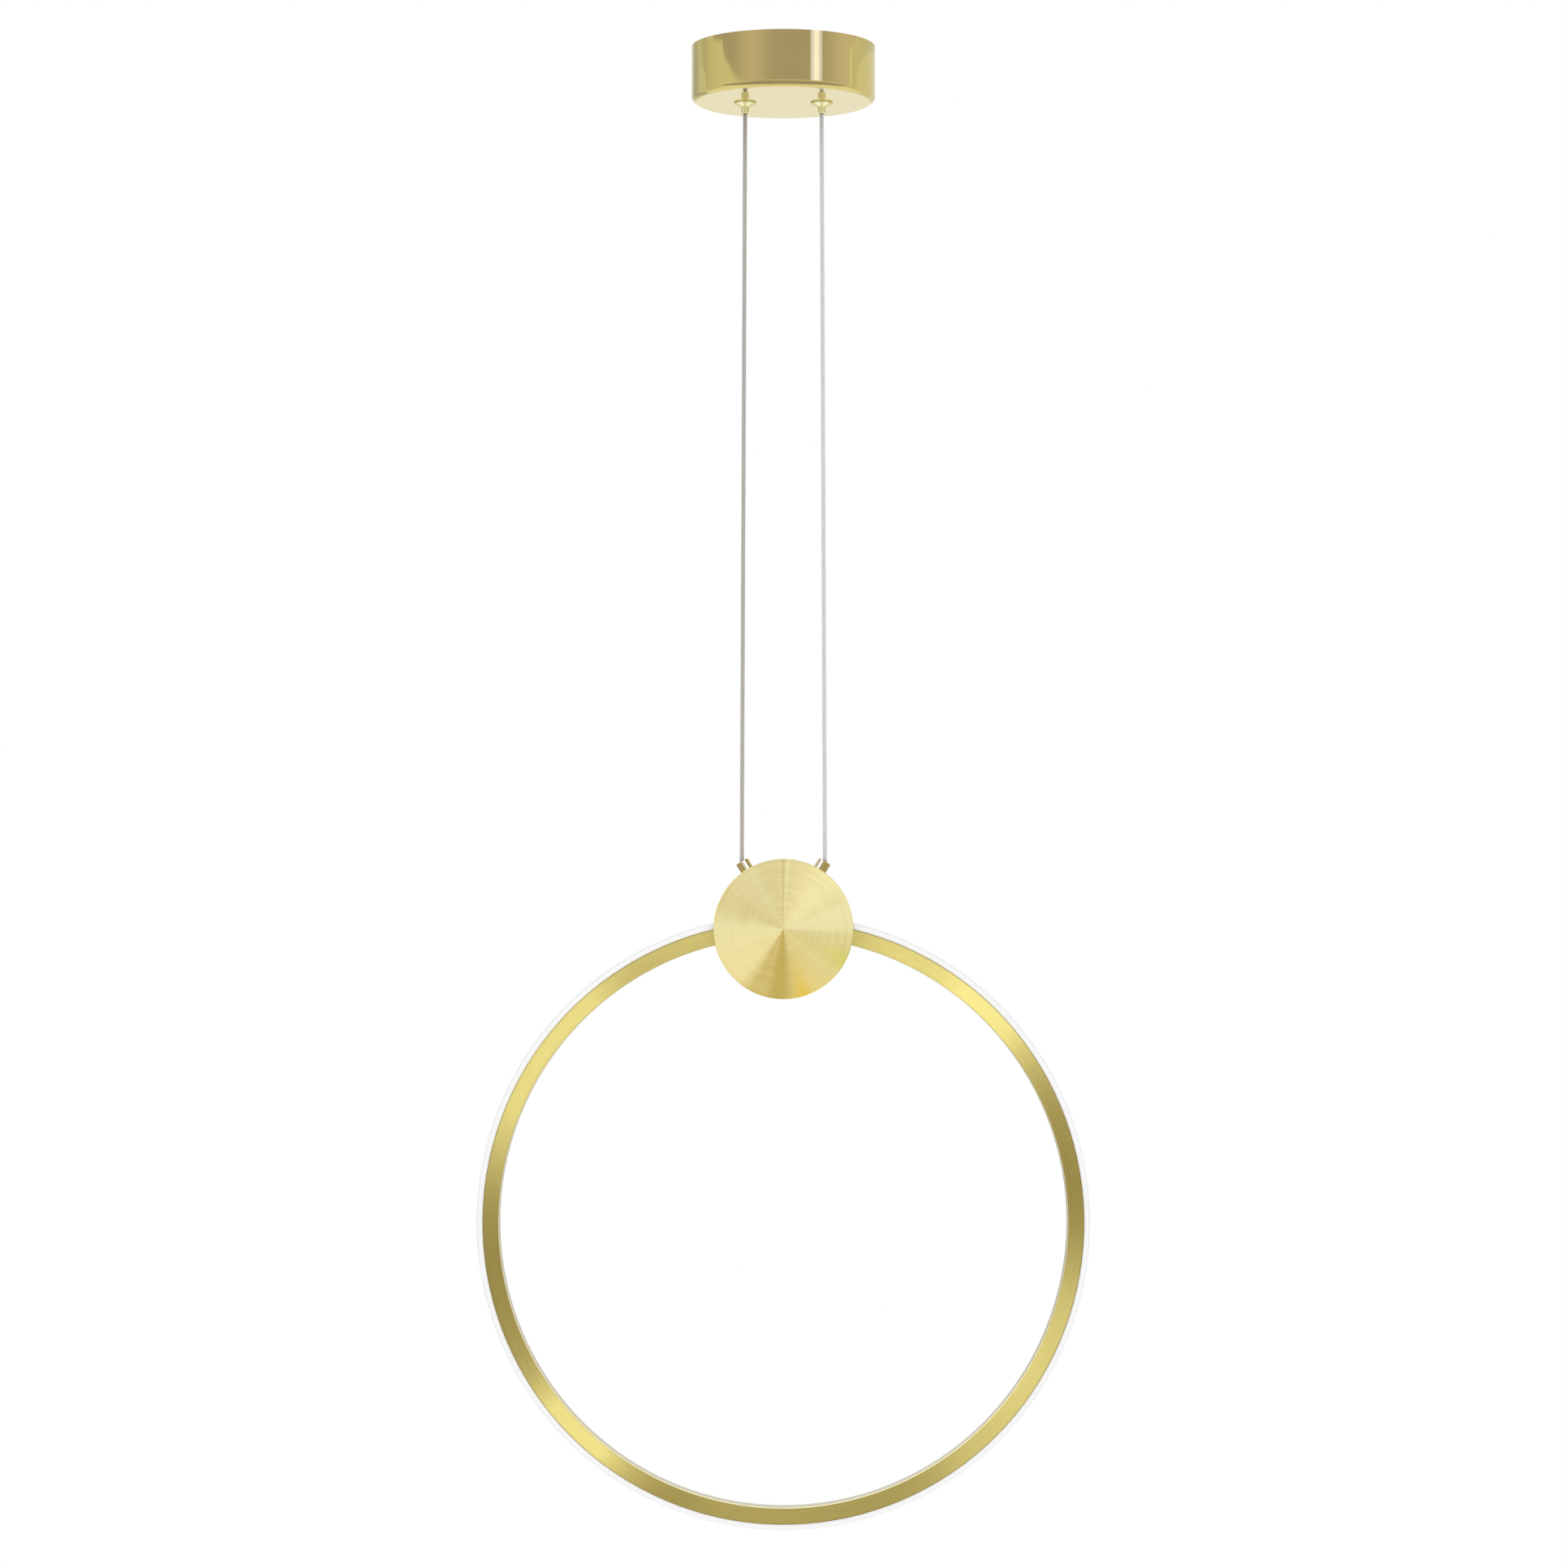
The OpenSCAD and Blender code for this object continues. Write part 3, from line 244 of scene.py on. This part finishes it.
class TurnedBrass:
    """Brass worked round one axis: its lines are circles, so its sheen spreads out across them."""

    def __init__(self, name, centre, axis, line_scale, line_height, roughness, anisotropic):
        self.material, self.tree, self.shader = new_material(
            name, (0.8, 0.7, 0.3), Metallic=1.0, Anisotropic=anisotropic, Anisotropic_Rotation=0.25)
        tree = self.tree
        self.radius, self.angle, self.depth = tree.round_point(centre, axis)
        place = tree.joined(tree.math("MULTIPLY", self.radius, line_scale),
                            tree.math("MULTIPLY", self.angle, LINE_CHANGE),
                            tree.math("MULTIPLY", self.depth, line_scale))
        self.lines = tree.noise(place, 1.0, detail=4, roughness=0.65)
        tree.link(tree.scaled(self.lines, *roughness), self.shader.inputs["Roughness"])
        tree.link(tree.bump(self.lines, line_height), self.shader.inputs["Normal"])
        tangent = tree.add("ShaderNodeTangent", direction_type="RADIAL", axis=axis)
        tree.link(tangent.outputs[0], self.shader.inputs["Tangent"])

    def colour(self, socket):
        self.tree.link(socket, self.shader.inputs["Base Color"])


def canopy_brass():
    brass = TurnedBrass("canopy_brass", (0, 0, 0), "Z", 900, 0.0000001, (0.015, 0.03), 0.0)
    patch = brass.tree.noise(brass.tree.object_point(), 14.0, detail=2)
    brass.colour(brass.tree.mix(patch, (0.72, 0.61, 0.23), (0.70, 0.595, 0.22)))
    return brass.material


# Painted highlights and painted shade on the hub's face, soft wedges that stand in for its turned sheen:
# middle and half width in degrees clockwise from the top, and gain
HUB_PAINTED_LIGHT = ((48, 20, 0.14), (80, 9, 0.52), (90, 3, 0.08), (116, 8, -0.05), (132, 5, 0.10),
              (184, 12, -0.72), (207, 8, -0.46), (226, 7, 0.02), (262, 14, 0.50), (268, 3, 0.20),
              (302, 9, -0.08), (0, 1.3, -0.22), (4, 2, 0.16), (331, 5, 0.10))
# Painted reflection tints, coloured wedges that stand in for what the turned face reflects: middle and half
# width, how steeply they grow towards the rim, strength and colour
HUB_PAINTED_REFLECTION_TINTS = (((138, 28), 0.2, 0.4, (0.92, 0.78, 0.22)), ((246, 24), 0.2, 0.45, (1.0, 0.85, 0.38)),
             ((117, 7), 3.0, 0.8, (0.80, 0.78, 0.16)), ((162, 8), 2.0, 1.0, (0.96, 0.66, 0.07)),
             ((150, 9), 1.0, 0.5, (0.98, 0.82, 0.32)), ((318, 16), 1.0, 0.35, (0.98, 0.86, 0.50)))
# Scales of the hub's coarser lines, across and along them
COARSE_LINES = 420
COARSE_CHANGE = 0.9


def hub_brass():
    brass = TurnedBrass("hub_brass", HUB_CENTRE, "Y", 1300, 0.000005, (0.38, 0.50), 0.5)
    tree = brass.tree
    # Painted highlights and painted shade: the wedges lighten and darken the base colour by angle round the
    # hub
    painted_light = tree.wedges(brass.angle, 0.66, HUB_PAINTED_LIGHT)
    coarse = tree.noise(tree.joined(tree.math("MULTIPLY", brass.radius, COARSE_LINES),
                                    tree.math("MULTIPLY", brass.angle, COARSE_CHANGE), 0.0),
                        1.0, detail=2)
    painted_light_and_lines = tree.math("ADD", tree.math("ADD", painted_light, tree.scaled(brass.lines, -0.42, 0.42)),
                      tree.scaled(coarse, -0.04, 0.04))
    gold_with_painted_light = tree.mix(painted_light_and_lines, (0.62, 0.475, 0.12), (1.0, 0.94, 0.51))
    outwards = tree.math("DIVIDE", brass.radius, HUB_RADIUS)
    # Painted reflection tints, stronger towards the rim
    for place, rise, strength, colour in HUB_PAINTED_REFLECTION_TINTS:
        share = tree.math("MULTIPLY", tree.wedge(brass.angle, *place), tree.math("POWER", outwards, rise))
        share = tree.math("MULTIPLY", share, strength)
        gold_with_painted_light = tree.mix(share, gold_with_painted_light, colour)
    brass.colour(gold_with_painted_light)
    return brass.material


# The ring's painted highlights and painted shade, brighter and darker stretches that stand in for its turned
# sheen, in the same terms
RING_PAINTED_LIGHT = ((22, 9, 0.37), (44, 10, 0.78), (82, 15, -0.15), (104, 8, 0.17), (122, 15, 0.55),
               (142, 8, 0.17), (203, 8, -0.12), (225, 9, 0.94), (262, 14, -0.15), (284, 7, 0.14),
               (306, 15, 1.10), (342, 10, 0.35))
# Width of the painted shade, a dark line along each edge of the front band
EDGE_SHADE_WIDTH = 0.0007
INNER_RADIUS = BAND_MIDDLE - BAND_HEIGHT / 2
LINING_MARGIN = 0.0001
# The lining's painted highlight, a bright front strip, ends here, measured from the ring's middle plane;
# behind it the lining is painted darker as shade
LINING_HIGHLIGHT_SPLIT = -0.0065


def ring_brass():
    brass = TurnedBrass("ring_brass", RING_CENTRE, "Y", 1700, 0.000003, (0.38, 0.46), 0.6)
    tree = brass.tree
    # Painted highlights and painted shade: the wedges lighten and darken the base colour by angle round the
    # ring
    painted_light = tree.wedges(brass.angle, 0.33, RING_PAINTED_LIGHT)
    painted_light_and_lines = tree.math("ADD", painted_light, tree.scaled(brass.lines, -0.22, 0.22))
    gold_with_painted_light = tree.mix(painted_light_and_lines, (0.29, 0.215, 0.05), (1.0, 0.89, 0.31))
    # Painted shade: a dark line along each edge of the front band, weaker on the inner edge
    outer_edge_shade = tree.math("GREATER_THAN", brass.radius, BAND_MIDDLE + BAND_HEIGHT / 2 - EDGE_SHADE_WIDTH)
    inner_edge_shade = tree.math("LESS_THAN", brass.radius, INNER_RADIUS + EDGE_SHADE_WIDTH)
    edge = tree.math("ADD", tree.math("MULTIPLY", outer_edge_shade, 0.65), tree.math("MULTIPLY", inner_edge_shade, 0.25))
    edge_shaded = tree.mix(edge, gold_with_painted_light, (0.26, 0.21, 0.09))
    # The lining gets a painted highlight at its front and painted shade behind it
    inner = tree.math("LESS_THAN", brass.radius, INNER_RADIUS + LINING_MARGIN)
    shaded_back = tree.math("GREATER_THAN", brass.depth, LINING_HIGHLIGHT_SPLIT)
    lining = tree.mix(shaded_back, (0.95, 0.86, 0.50), (0.60, 0.575, 0.45))
    brass.colour(tree.mix(inner, edge_shaded, lining))
    return brass.material


FITTING_HIGHLIGHT_HALF = 13
FITTING_HIGHLIGHT_GAIN = 1.5


def fitting_brass(side, highlight_at):
    """Polished brass of one cable fitting, with a painted highlight, a pale stripe, along it.

    The stripe lies at highlight_at degrees round the fitting's own axis, counted from its front.
    """
    low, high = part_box(f"{side}_cable_fitting")
    outwards = ((low + high) / 2 - HUB_CENTRE).normalized()
    material, tree, shader = new_material(f"{side}_fitting_brass", (0.50, 0.39, 0.13), Metallic=1.0)
    mottled(tree, shader, (0.50, 0.39, 0.13), (0.44, 0.34, 0.11), 220, (0.10, 0.16), (2600, 0.000002))
    moved = tree.add("ShaderNodeVectorMath", operation="SUBTRACT")
    tree.link(tree.object_point(), moved.inputs[0])
    moved.inputs[1].default_value = HUB_CENTRE
    across = tree.add("ShaderNodeVectorMath", operation="DOT_PRODUCT")
    tree.link(moved.outputs[0], across.inputs[0])
    across.inputs[1].default_value = (outwards.z, 0, -outwards.x)
    split = tree.add("ShaderNodeSeparateXYZ")
    tree.link(moved.outputs[0], split.inputs[0])
    turn = tree.math("ARCTAN2", across.outputs["Value"], tree.math("MULTIPLY", split.outputs["Y"], -1.0))
    plain = shader.inputs["Base Color"].links[0].from_socket
    # Painted highlight: a pale stripe of lighter base colour at one angle round the fitting's axis
    painted_light = tree.math("MULTIPLY", tree.wedge(turn, highlight_at, FITTING_HIGHLIGHT_HALF), FITTING_HIGHLIGHT_GAIN)
    painted_light = tree.math("MINIMUM", painted_light, 1.0)
    tree.link(tree.mix(painted_light, plain, (1.0, 0.97, 0.80)), shader.inputs["Base Color"])
    return material


def gripper_brass(side):
    """Lacquered brass of one cable gripper, with two painted highlights, pale stripes, at its front."""
    low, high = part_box(f"{side}_gripper_nozzle")
    material, tree, shader = new_material(f"{side}_gripper_brass", (0.7, 0.6, 0.2), Metallic=0.4)
    mottled(tree, shader, (0.66, 0.54, 0.14), (0.62, 0.50, 0.13), 260, (0.24, 0.32))
    plain = shader.inputs["Base Color"].links[0].from_socket
    _, angle, _ = tree.round_point((low + high) / 2, "Z")
    # Painted highlights: two pale stripes of lighter base colour at the nozzle's front
    painted_highlights = tree.wedges(angle, 0.25, ((156, 14, 0.80), (204, 14, 0.80)))
    tree.link(tree.mix(painted_highlights, plain, (1.0, 1.0, 0.62)), shader.inputs["Base Color"])
    return material


def plain_metal(name, colour, other, roughness, scale=160, grain=(2200, 0.000004)):
    material, tree, shader = new_material(name, colour, Metallic=1.0)
    mottled(tree, shader, colour, other, scale, roughness, grain)
    return material


# Plastics

def plain_plastic(name, colour, other, roughness, scale=120, grain=(1800, 0.000006), **settings):
    material, tree, shader = new_material(name, colour, **settings)
    mottled(tree, shader, colour, other, scale, roughness, grain)
    return material


def opal_acrylic():
    """Opal acrylic, with a painted highlight that makes it whiter in the crease beside the brass than on the
    crown.
    """
    material, tree, shader = new_material("opal_acrylic", (0.92, 0.92, 0.93), IOR=1.49)
    mottled(tree, shader, (0.91, 0.91, 0.925), (0.89, 0.89, 0.905), 30, (0.36, 0.44))
    crown = shader.inputs["Base Color"].links[0].from_socket
    # Painted highlight: white in the crease beside the brass, fading to the greyer crown
    radius, _, _ = tree.round_point(RING_CENTRE, "Y")
    crease = RING_RADIUS - DIFFUSER_RISE
    share = tree.math("DIVIDE", tree.math("SUBTRACT", radius, crease), DIFFUSER_RISE)
    share = tree.math("MINIMUM", tree.math("MAXIMUM", tree.scaled(share, -0.6, 1.6), 0.0), 1.0)
    tree.link(tree.mix(share, (1.0, 1.0, 1.0), crown), shader.inputs["Base Color"])
    return material


def cable_jacket(name, tint):
    material, tree, shader = new_material(name, tint, Transmission_Weight=1.0, IOR=1.42)
    point = tree.stretched(tree.object_point(), (1, 1, 0.15))
    tree.link(tree.scaled(tree.noise(point, 900), 0.05, 0.16), shader.inputs["Roughness"])
    return material


def cable_core(name, colour, other, gap_shade_colour, metallic, roughness):
    """Bare strands, with painted shade in the gaps between them, in gap_shade_colour."""
    material, tree, shader = new_material(name, colour, Metallic=metallic)
    mottled(tree, shader, colour, other, 700, roughness, (4000, 0.000004))
    strand = shader.inputs["Base Color"].links[0].from_socket
    # Painted shade: the base colour darkens where the occlusion node finds the strands closed in
    gap_occlusion = tree.add("ShaderNodeAmbientOcclusion", only_local=True, samples=8)
    tree.set(gap_occlusion, Distance=STRAND_DIAMETER)
    tree.link(tree.mix(gap_occlusion.outputs["AO"], gap_shade_colour, strand), shader.inputs["Base Color"])
    return material


# Cables

CABLE_DIAMETER = 0.0034
SLEEVE_SIDES = 24
SLEEVE_RINGS = 40
# Where the rings of a sleeve's round ends lie, in degrees from its swivel point to its tip
CAP_TURNS = (15, 30, 45, 60, 75)
CORE_STRANDS = 8
STRAND_DIAMETER = 0.0009
STRAND_SIDES = 6
STRAND_RING = 0.00095
STRAND_PITCH = 0.018
STRAND_STEP = 0.0015


def cable_ends(side):
    """Upper and lower swivel point of one cable, from the round ended solid it replaces."""
    low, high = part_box(f"{side}_cable")
    radius = CABLE_DIAMETER / 2
    sign = -1 if side == "left" else 1
    near, far = sorted((abs(low.x), abs(high.x)))
    top = Vector((sign * (near + radius), 0, high.z - radius))
    bottom = Vector((sign * (far - radius), 0, low.z + radius))
    return top, bottom


def circle(mesh, middle, radius, sides):
    """Corners round a point, square to Z, which suits a nearly upright cable."""
    turns = [2 * math.pi * k / sides for k in range(sides)]
    return [mesh.verts.new(middle + Vector((radius * math.cos(a), radius * math.sin(a), 0))) for a in turns]


def skin(mesh, rings):
    """Closed skin over a row of rings."""
    sides = len(rings[0])
    for first, second in zip(rings, rings[1:]):
        for k in range(sides):
            n = (k + 1) % sides
            mesh.faces.new((first[k], second[k], second[n], first[n]))
    mesh.faces.new(rings[0])
    mesh.faces.new(list(reversed(rings[-1])))


def round_ended_tube(name, points, radius, sides):
    """Closed tube along points, with a half ball on each end."""
    mesh = bmesh.new()
    turns = [math.radians(a) for a in CAP_TURNS]
    down = (points[-1] - points[0]).normalized()
    cap_start = [(points[0] - down * radius * math.sin(a), radius * math.cos(a)) for a in reversed(turns)]
    cap_end = [(points[-1] + down * radius * math.sin(a), radius * math.cos(a)) for a in turns]
    stations = cap_start + [(point, radius) for point in points] + cap_end
    skin(mesh, [circle(mesh, point, ring_radius, sides) for point, ring_radius in stations])
    bmesh.ops.recalc_face_normals(mesh, faces=mesh.faces)
    return finished(name, mesh)


def finished(name, mesh):
    """Object made from a mesh, smooth and in the scene."""
    data = bpy.data.meshes.new(name)
    mesh.to_mesh(data)
    mesh.free()
    data.shade_smooth()
    piece = bpy.data.objects.new(name, data)
    bpy.context.scene.collection.objects.link(piece)
    return piece


def strands(name, top, bottom):
    """Twisted strands inside the jacket, as one mesh of separate wires."""
    mesh = bmesh.new()
    run = bottom - top
    steps = int(run.length / STRAND_STEP)
    for strand in range(CORE_STRANDS):
        phase = 2 * math.pi * strand / CORE_STRANDS
        rings = []
        for i in range(steps + 1):
            share = i / steps
            turn = phase + 2 * math.pi * share * run.length / STRAND_PITCH
            middle = top + run * share + Vector((math.cos(turn), math.sin(turn), 0)) * STRAND_RING
            rings.append(circle(mesh, middle, STRAND_DIAMETER / 2, STRAND_SIDES))
        skin(mesh, rings)
    bmesh.ops.recalc_face_normals(mesh, faces=mesh.faces)
    return finished(name, mesh)


def add_cable(side, jacket, core):
    top, bottom = cable_ends(side)
    run = bottom - top
    path = [top + run * i / SLEEVE_RINGS for i in range(SLEEVE_RINGS + 1)]
    sleeve = round_ended_tube(f"{side}_cable_sleeve", path, CABLE_DIAMETER / 2, SLEEVE_SIDES)
    sleeve.data.materials.append(jacket)
    inner = strands(f"{side}_cable_strands", top, bottom)
    inner.data.materials.append(core)
    for piece in (sleeve, inner):
        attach(piece, "suspension")
    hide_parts(f"{side}_cable")


# Finishes of the CAD nodes

def give(material, *names):
    for name in names:
        data = nodes[name].data
        data.materials.clear()
        data.materials.append(material)


def finish_nodes():
    zinc = plain_metal("zinc_steel", (0.62, 0.63, 0.65), (0.55, 0.56, 0.59), (0.28, 0.42))
    give(canopy_brass(), "canopy_cup")
    give(plain_metal("bracket_steel", (0.58, 0.59, 0.61), (0.5, 0.51, 0.54), (0.3, 0.48), 60),
         "ceiling_bracket")
    give(plain_metal("black_steel", (0.05, 0.05, 0.055), (0.03, 0.03, 0.03), (0.35, 0.5)),
         "canopy_set_screws")
    give(plain_metal("brass_screw", (0.7, 0.58, 0.26), (0.62, 0.5, 0.2), (0.2, 0.32)), "earth_screw",
         "hub_cover_screws")
    give(plain_plastic("green_lead", (0.1, 0.32, 0.04), (0.12, 0.36, 0.05), (0.3, 0.42)), "earth_lead")
    give(plain_plastic("block_plastic", (0.78, 0.78, 0.75), (0.74, 0.74, 0.71), (0.3, 0.45)),
         "terminal_block")
    give(zinc, "terminal_clamp_screws", "block_screws", "driver_lid_screws", "gripper_washers",
         "fitting_nuts", "bridge_bolts", "ring_end_screws")
    give(plain_plastic("mains_lead", (0.09, 0.045, 0.03), (0.12, 0.06, 0.04), (0.3, 0.42)), "mains_leads")
    give(plain_plastic("driver_plastic", (0.78, 0.78, 0.77), (0.74, 0.74, 0.73), (0.42, 0.58), 80,
                       (1400, 0.00002)), "driver_case", "driver_lid")
    give(plain_plastic("foam_tape", (0.04, 0.04, 0.042), (0.03, 0.03, 0.03), (0.8, 0.95), 300,
                       (1600, 0.0001)), "driver_tape")
    for side in ("left", "right"):
        give(gripper_brass(side), *(f"{side}_gripper_{part}" for part in ("body", "flange", "nozzle")))
    give(plain_metal("cap_brass", (0.7, 0.58, 0.26), (0.62, 0.5, 0.2), (0.24, 0.36)), "gripper_caps")
    give(plain_plastic("left_cable_lead", (0.62, 0.58, 0.53), (0.55, 0.51, 0.46), (0.14, 0.26), IOR=1.42),
         "left_cable_top", "left_cable_end")
    give(plain_plastic("right_cable_lead", (0.80, 0.80, 0.82), (0.70, 0.70, 0.73), (0.14, 0.26), IOR=1.42),
         "right_cable_top", "right_cable_end")
    give(plain_metal("spring_steel", (0.55, 0.56, 0.58), (0.48, 0.49, 0.52), (0.2, 0.3)),
         "left_gripper_spring", "right_gripper_spring", "left_gripper_balls", "right_gripper_balls")
    give(hub_brass(), "hub_shell", "hub_rear_cover")
    give(fitting_brass("left", 14), "left_cable_fitting")
    give(fitting_brass("right", -30), "right_cable_fitting")
    give(plain_metal("ferrule_metal", (0.6, 0.6, 0.63), (0.52, 0.52, 0.56), (0.3, 0.42)), "cable_ferrules")
    give(plain_plastic("splice_plastic", (0.5, 0.03, 0.02), (0.42, 0.025, 0.02), (0.3, 0.42)), "lead_splices")
    give(plain_plastic("led_lead", (0.3, 0.02, 0.02), (0.25, 0.018, 0.018), (0.3, 0.42)), "led_leads")
    give(plain_metal("bridge_aluminium", (0.6, 0.6, 0.62), (0.54, 0.54, 0.57), (0.35, 0.5)), "ring_bridge")
    give(ring_brass(), "ring_channel")
    give(plain_plastic("led_board", (0.8, 0.78, 0.7), (0.76, 0.74, 0.66), (0.5, 0.6)), "led_strip")
    give(plain_plastic("led_chip", (0.85, 0.68, 0.14), (0.8, 0.62, 0.12), (0.25, 0.35)), "leds")
    give(opal_acrylic(), "ring_diffuser")


# Light

def studio_world():
    """White all round, which is both the background and a soft even light."""
    world = bpy.data.worlds.new("studio")
    world.use_nodes = True
    bpy.context.scene.world = world
    tree = Nodes(world.node_tree)
    output = tree.add("ShaderNodeOutputWorld")
    white = tree.add("ShaderNodeBackground")
    tree.set(white, Color=(1, 1, 1, 1), Strength=1.0)
    tree.link(white.outputs[0], output.inputs["Surface"])


CARD_MIDDLE = Vector((0, 0, -0.55))
CARD_DISTANCE = 14.0
CARD_STEP = 8.0
CARD_ROWS = 12
BRIGHTEST = 6.0


def direction(azimuth, elevation):
    """Unit vector; azimuth 0 looks at the camera's side, 90 at +X, both in degrees."""
    a, e = math.radians(azimuth), math.radians(elevation)
    return Vector((math.sin(a) * math.cos(e), -math.cos(a) * math.cos(e), math.sin(e)))


def stations_between(corners):
    """Corners of a card's outline, each (azimuth, low, high), and more where they lie far apart."""
    stations = [corners[0]]
    for start, end in zip(corners, corners[1:]):
        steps = max(1, math.ceil((end[0] - start[0]) / CARD_STEP))
        stations += [[a + (b - a) * i / steps for a, b in zip(start, end)] for i in range(1, steps + 1)]
    return stations


def card(name, corners, colour, strength, distance=CARD_DISTANCE, lobes=()):
    """Curved studio card round the object, seen only in reflections.

    Corners run from left to right, each with its azimuth and the card's low and high edge there, in degrees.
    Lobes are brighter or darker stretches, each with its middle azimuth, half width and gain.
    """
    mesh = bmesh.new()
    columns = []
    for azimuth, low, high in stations_between(corners):
        rows = [low + (high - low) * k / CARD_ROWS for k in range(CARD_ROWS + 1)]
        columns.append([mesh.verts.new(CARD_MIDDLE + direction(azimuth, row) * distance) for row in rows])
    for first, second in zip(columns, columns[1:]):
        for k in range(CARD_ROWS):
            mesh.faces.new((first[k], second[k], second[k + 1], first[k + 1]))
    return give_glow(finished(name, mesh), colour, strength, lobes)


def give_glow(piece, colour, strength, lobes=()):
    """Makes a card glow in reflections only."""
    material = bpy.data.materials.new(piece.name)
    material.use_nodes = True
    tree = Nodes(material.node_tree)
    glow = tree.add("ShaderNodeEmission")
    tree.set(glow, Color=(*colour, 1), Strength=strength)
    if lobes:
        split = tree.add("ShaderNodeSeparateXYZ")
        tree.link(tree.object_point(), split.inputs[0])
        azimuth = tree.math("ARCTAN2", split.outputs["X"], tree.math("MULTIPLY", split.outputs["Y"], -1.0))
        tree.link(tree.wedges(azimuth, strength, lobes, most=BRIGHTEST), glow.inputs["Strength"])
    output = tree.add("ShaderNodeOutputMaterial")
    tree.link(glow.outputs[0], output.inputs["Surface"])
    piece.data.materials.append(material)
    piece.visible_camera = piece.visible_diffuse = piece.visible_shadow = False
    piece.visible_transmission = False
    return piece


# Outlines of the cards whose edges show in the canopy's wall
CANOPY_FLAG = ((-98.5, 9, 18), (90.5, 9, 18), (90.6, 13.2, 18), (95.3, 13.24, 18), (101.4, 13.29, 18),
               (104, 13.36, 18))
LEFT_SIDE = ((-170, -30, 14.2), (-98.6, -30, 14.2), (-98.4, -30, 13.46), (-82, -30, 13.44),
             (-81.9, -30, 13.36), (-80.4, -30, 13.26), (-75.5, -30, 13.12), (-67.7, -30, 12.975),
             (-59.1, -30, 12.85), (-50.7, -30, 12.75), (-45, -30, 12.68))
FAR_LEFT = ((-170, -30, 13.46), (-134.5, -30, 13.33), (-122, -30, 13.18), (-114.5, -30, 13.01),
            (-112.6, -30, 12.88), (-112, -30, 12.7))
FAR_RIGHT = ((104.5, -30, 12.8), (105.6, -30, 12.98), (109.8, -30, 13.13), (117, -30, 13.26),
             (132.4, -30, 13.36), (170, -30, 13.46))
RIGHT_EDGE = ((92, -30, 13.33), (95.5, -30, 13.38))
RIGHT_SIDE = ((91, -30, 13.36), (95.5, -30, 13.39), (104, -30, 13.47), (104.5, -30, 14.2), (172, -30, 14.2))

FLOOR_HALF = 7.0
FLOOR_HEIGHT = -2.2

# The flat shade below the canopy: its corners in X and Y, and its height
SHADE_CORNERS = ((-0.9, -0.75), (0.9, -0.75), (0.9, -0.1), (-0.9, -0.1))
SHADE_HEIGHT = -0.16


def add_floor():
    """Pale floor, see-through from below so that a low camera sees the light from under it."""
    mesh = bmesh.new()
    bmesh.ops.create_grid(mesh, x_segments=1, y_segments=1, size=FLOOR_HALF)
    floor = finished("floor", mesh)
    floor.location.z = FLOOR_HEIGHT
    material, tree, shader = new_material("floor", (0.97, 0.97, 0.97), Roughness=0.9)
    clear = tree.add("ShaderNodeBsdfTransparent")
    side = tree.add("ShaderNodeNewGeometry")
    mix = tree.add("ShaderNodeMixShader")
    tree.link(side.outputs["Backfacing"], mix.inputs[0])
    tree.link(shader.outputs[0], mix.inputs[1])
    tree.link(clear.outputs[0], mix.inputs[2])
    tree.link(mix.outputs[0], tree.tree.nodes["Material Output"].inputs["Surface"])
    floor.data.materials.append(material)
    floor.visible_glossy = False


def canopy_shade():
    """Dim flat card in front of and below the canopy, which darkens the turn of its lower edge."""
    mesh = bmesh.new()
    mesh.faces.new([mesh.verts.new((x, y, SHADE_HEIGHT)) for x, y in SHADE_CORNERS])
    shade = finished("canopy_shade", mesh)
    give_glow(shade, (1.0, 0.92, 1.0), 0.45)


def light_studio():
    bpy.context.scene.view_settings.view_transform = "Standard"
    studio_world()
    add_floor()
    card("front_wall", ((-62, -45, 75), (95, -45, 75)), (1.0, 0.97, 0.95), 0.75, distance=16.0)
    card("canopy_flag", CANOPY_FLAG, (1.0, 0.92, 1.0), 0.52, distance=15.0,
         lobes=((-40, 15, 0.17), (88, 24, 0.22)))
    card("left_side", LEFT_SIDE, (1.0, 0.985, 0.92), 0.80,
         lobes=((-145, 10, -0.25), (-117, 9, -0.19), (-100, 4, -0.04)))
    card("far_left", FAR_LEFT, (1.0, 1.0, 0.98), 0.76, distance=13.5, lobes=((-145, 10, -0.25),))
    card("right_edge", RIGHT_EDGE, (1.0, 0.985, 0.93), 0.90, distance=13.8)
    card("right_side", RIGHT_SIDE, (1.0, 0.985, 0.90), 0.72, lobes=((104, 6, 0.04),))
    card("far_right", FAR_RIGHT, (1.0, 0.99, 0.93), 0.84, distance=13.5)
    card("right_strip", ((33.8, 11.3, 16), (49.8, 11.3, 16)), (0.51, 0.53, 0.92), 1.3,
         lobes=((41.6, 5, 1.45),))
    card("right_softbox", ((10, 16, 40), (40, 16, 40)), (1, 1, 1), 4.0)
    card("left_softbox", ((-66, 18, 42), (-36, 18, 42)), (1, 1, 1), 4.0)
    canopy_shade()


clear_start()
add_camera()
add_cable("left", cable_jacket("left_jacket", (0.95, 0.94, 0.92)),
          cable_core("left_core", (0.80, 0.77, 0.73), (0.70, 0.67, 0.63), (0.52, 0.49, 0.45), 0.2,
                     (0.3, 0.45)))
add_cable("right", cable_jacket("right_jacket", (0.97, 0.97, 0.98)),
          cable_core("right_core", (1.0, 1.0, 1.0), (0.93, 0.93, 0.95), (0.60, 0.60, 0.66), 0.3,
                     (0.2, 0.32)))
finish_nodes()
light_studio()
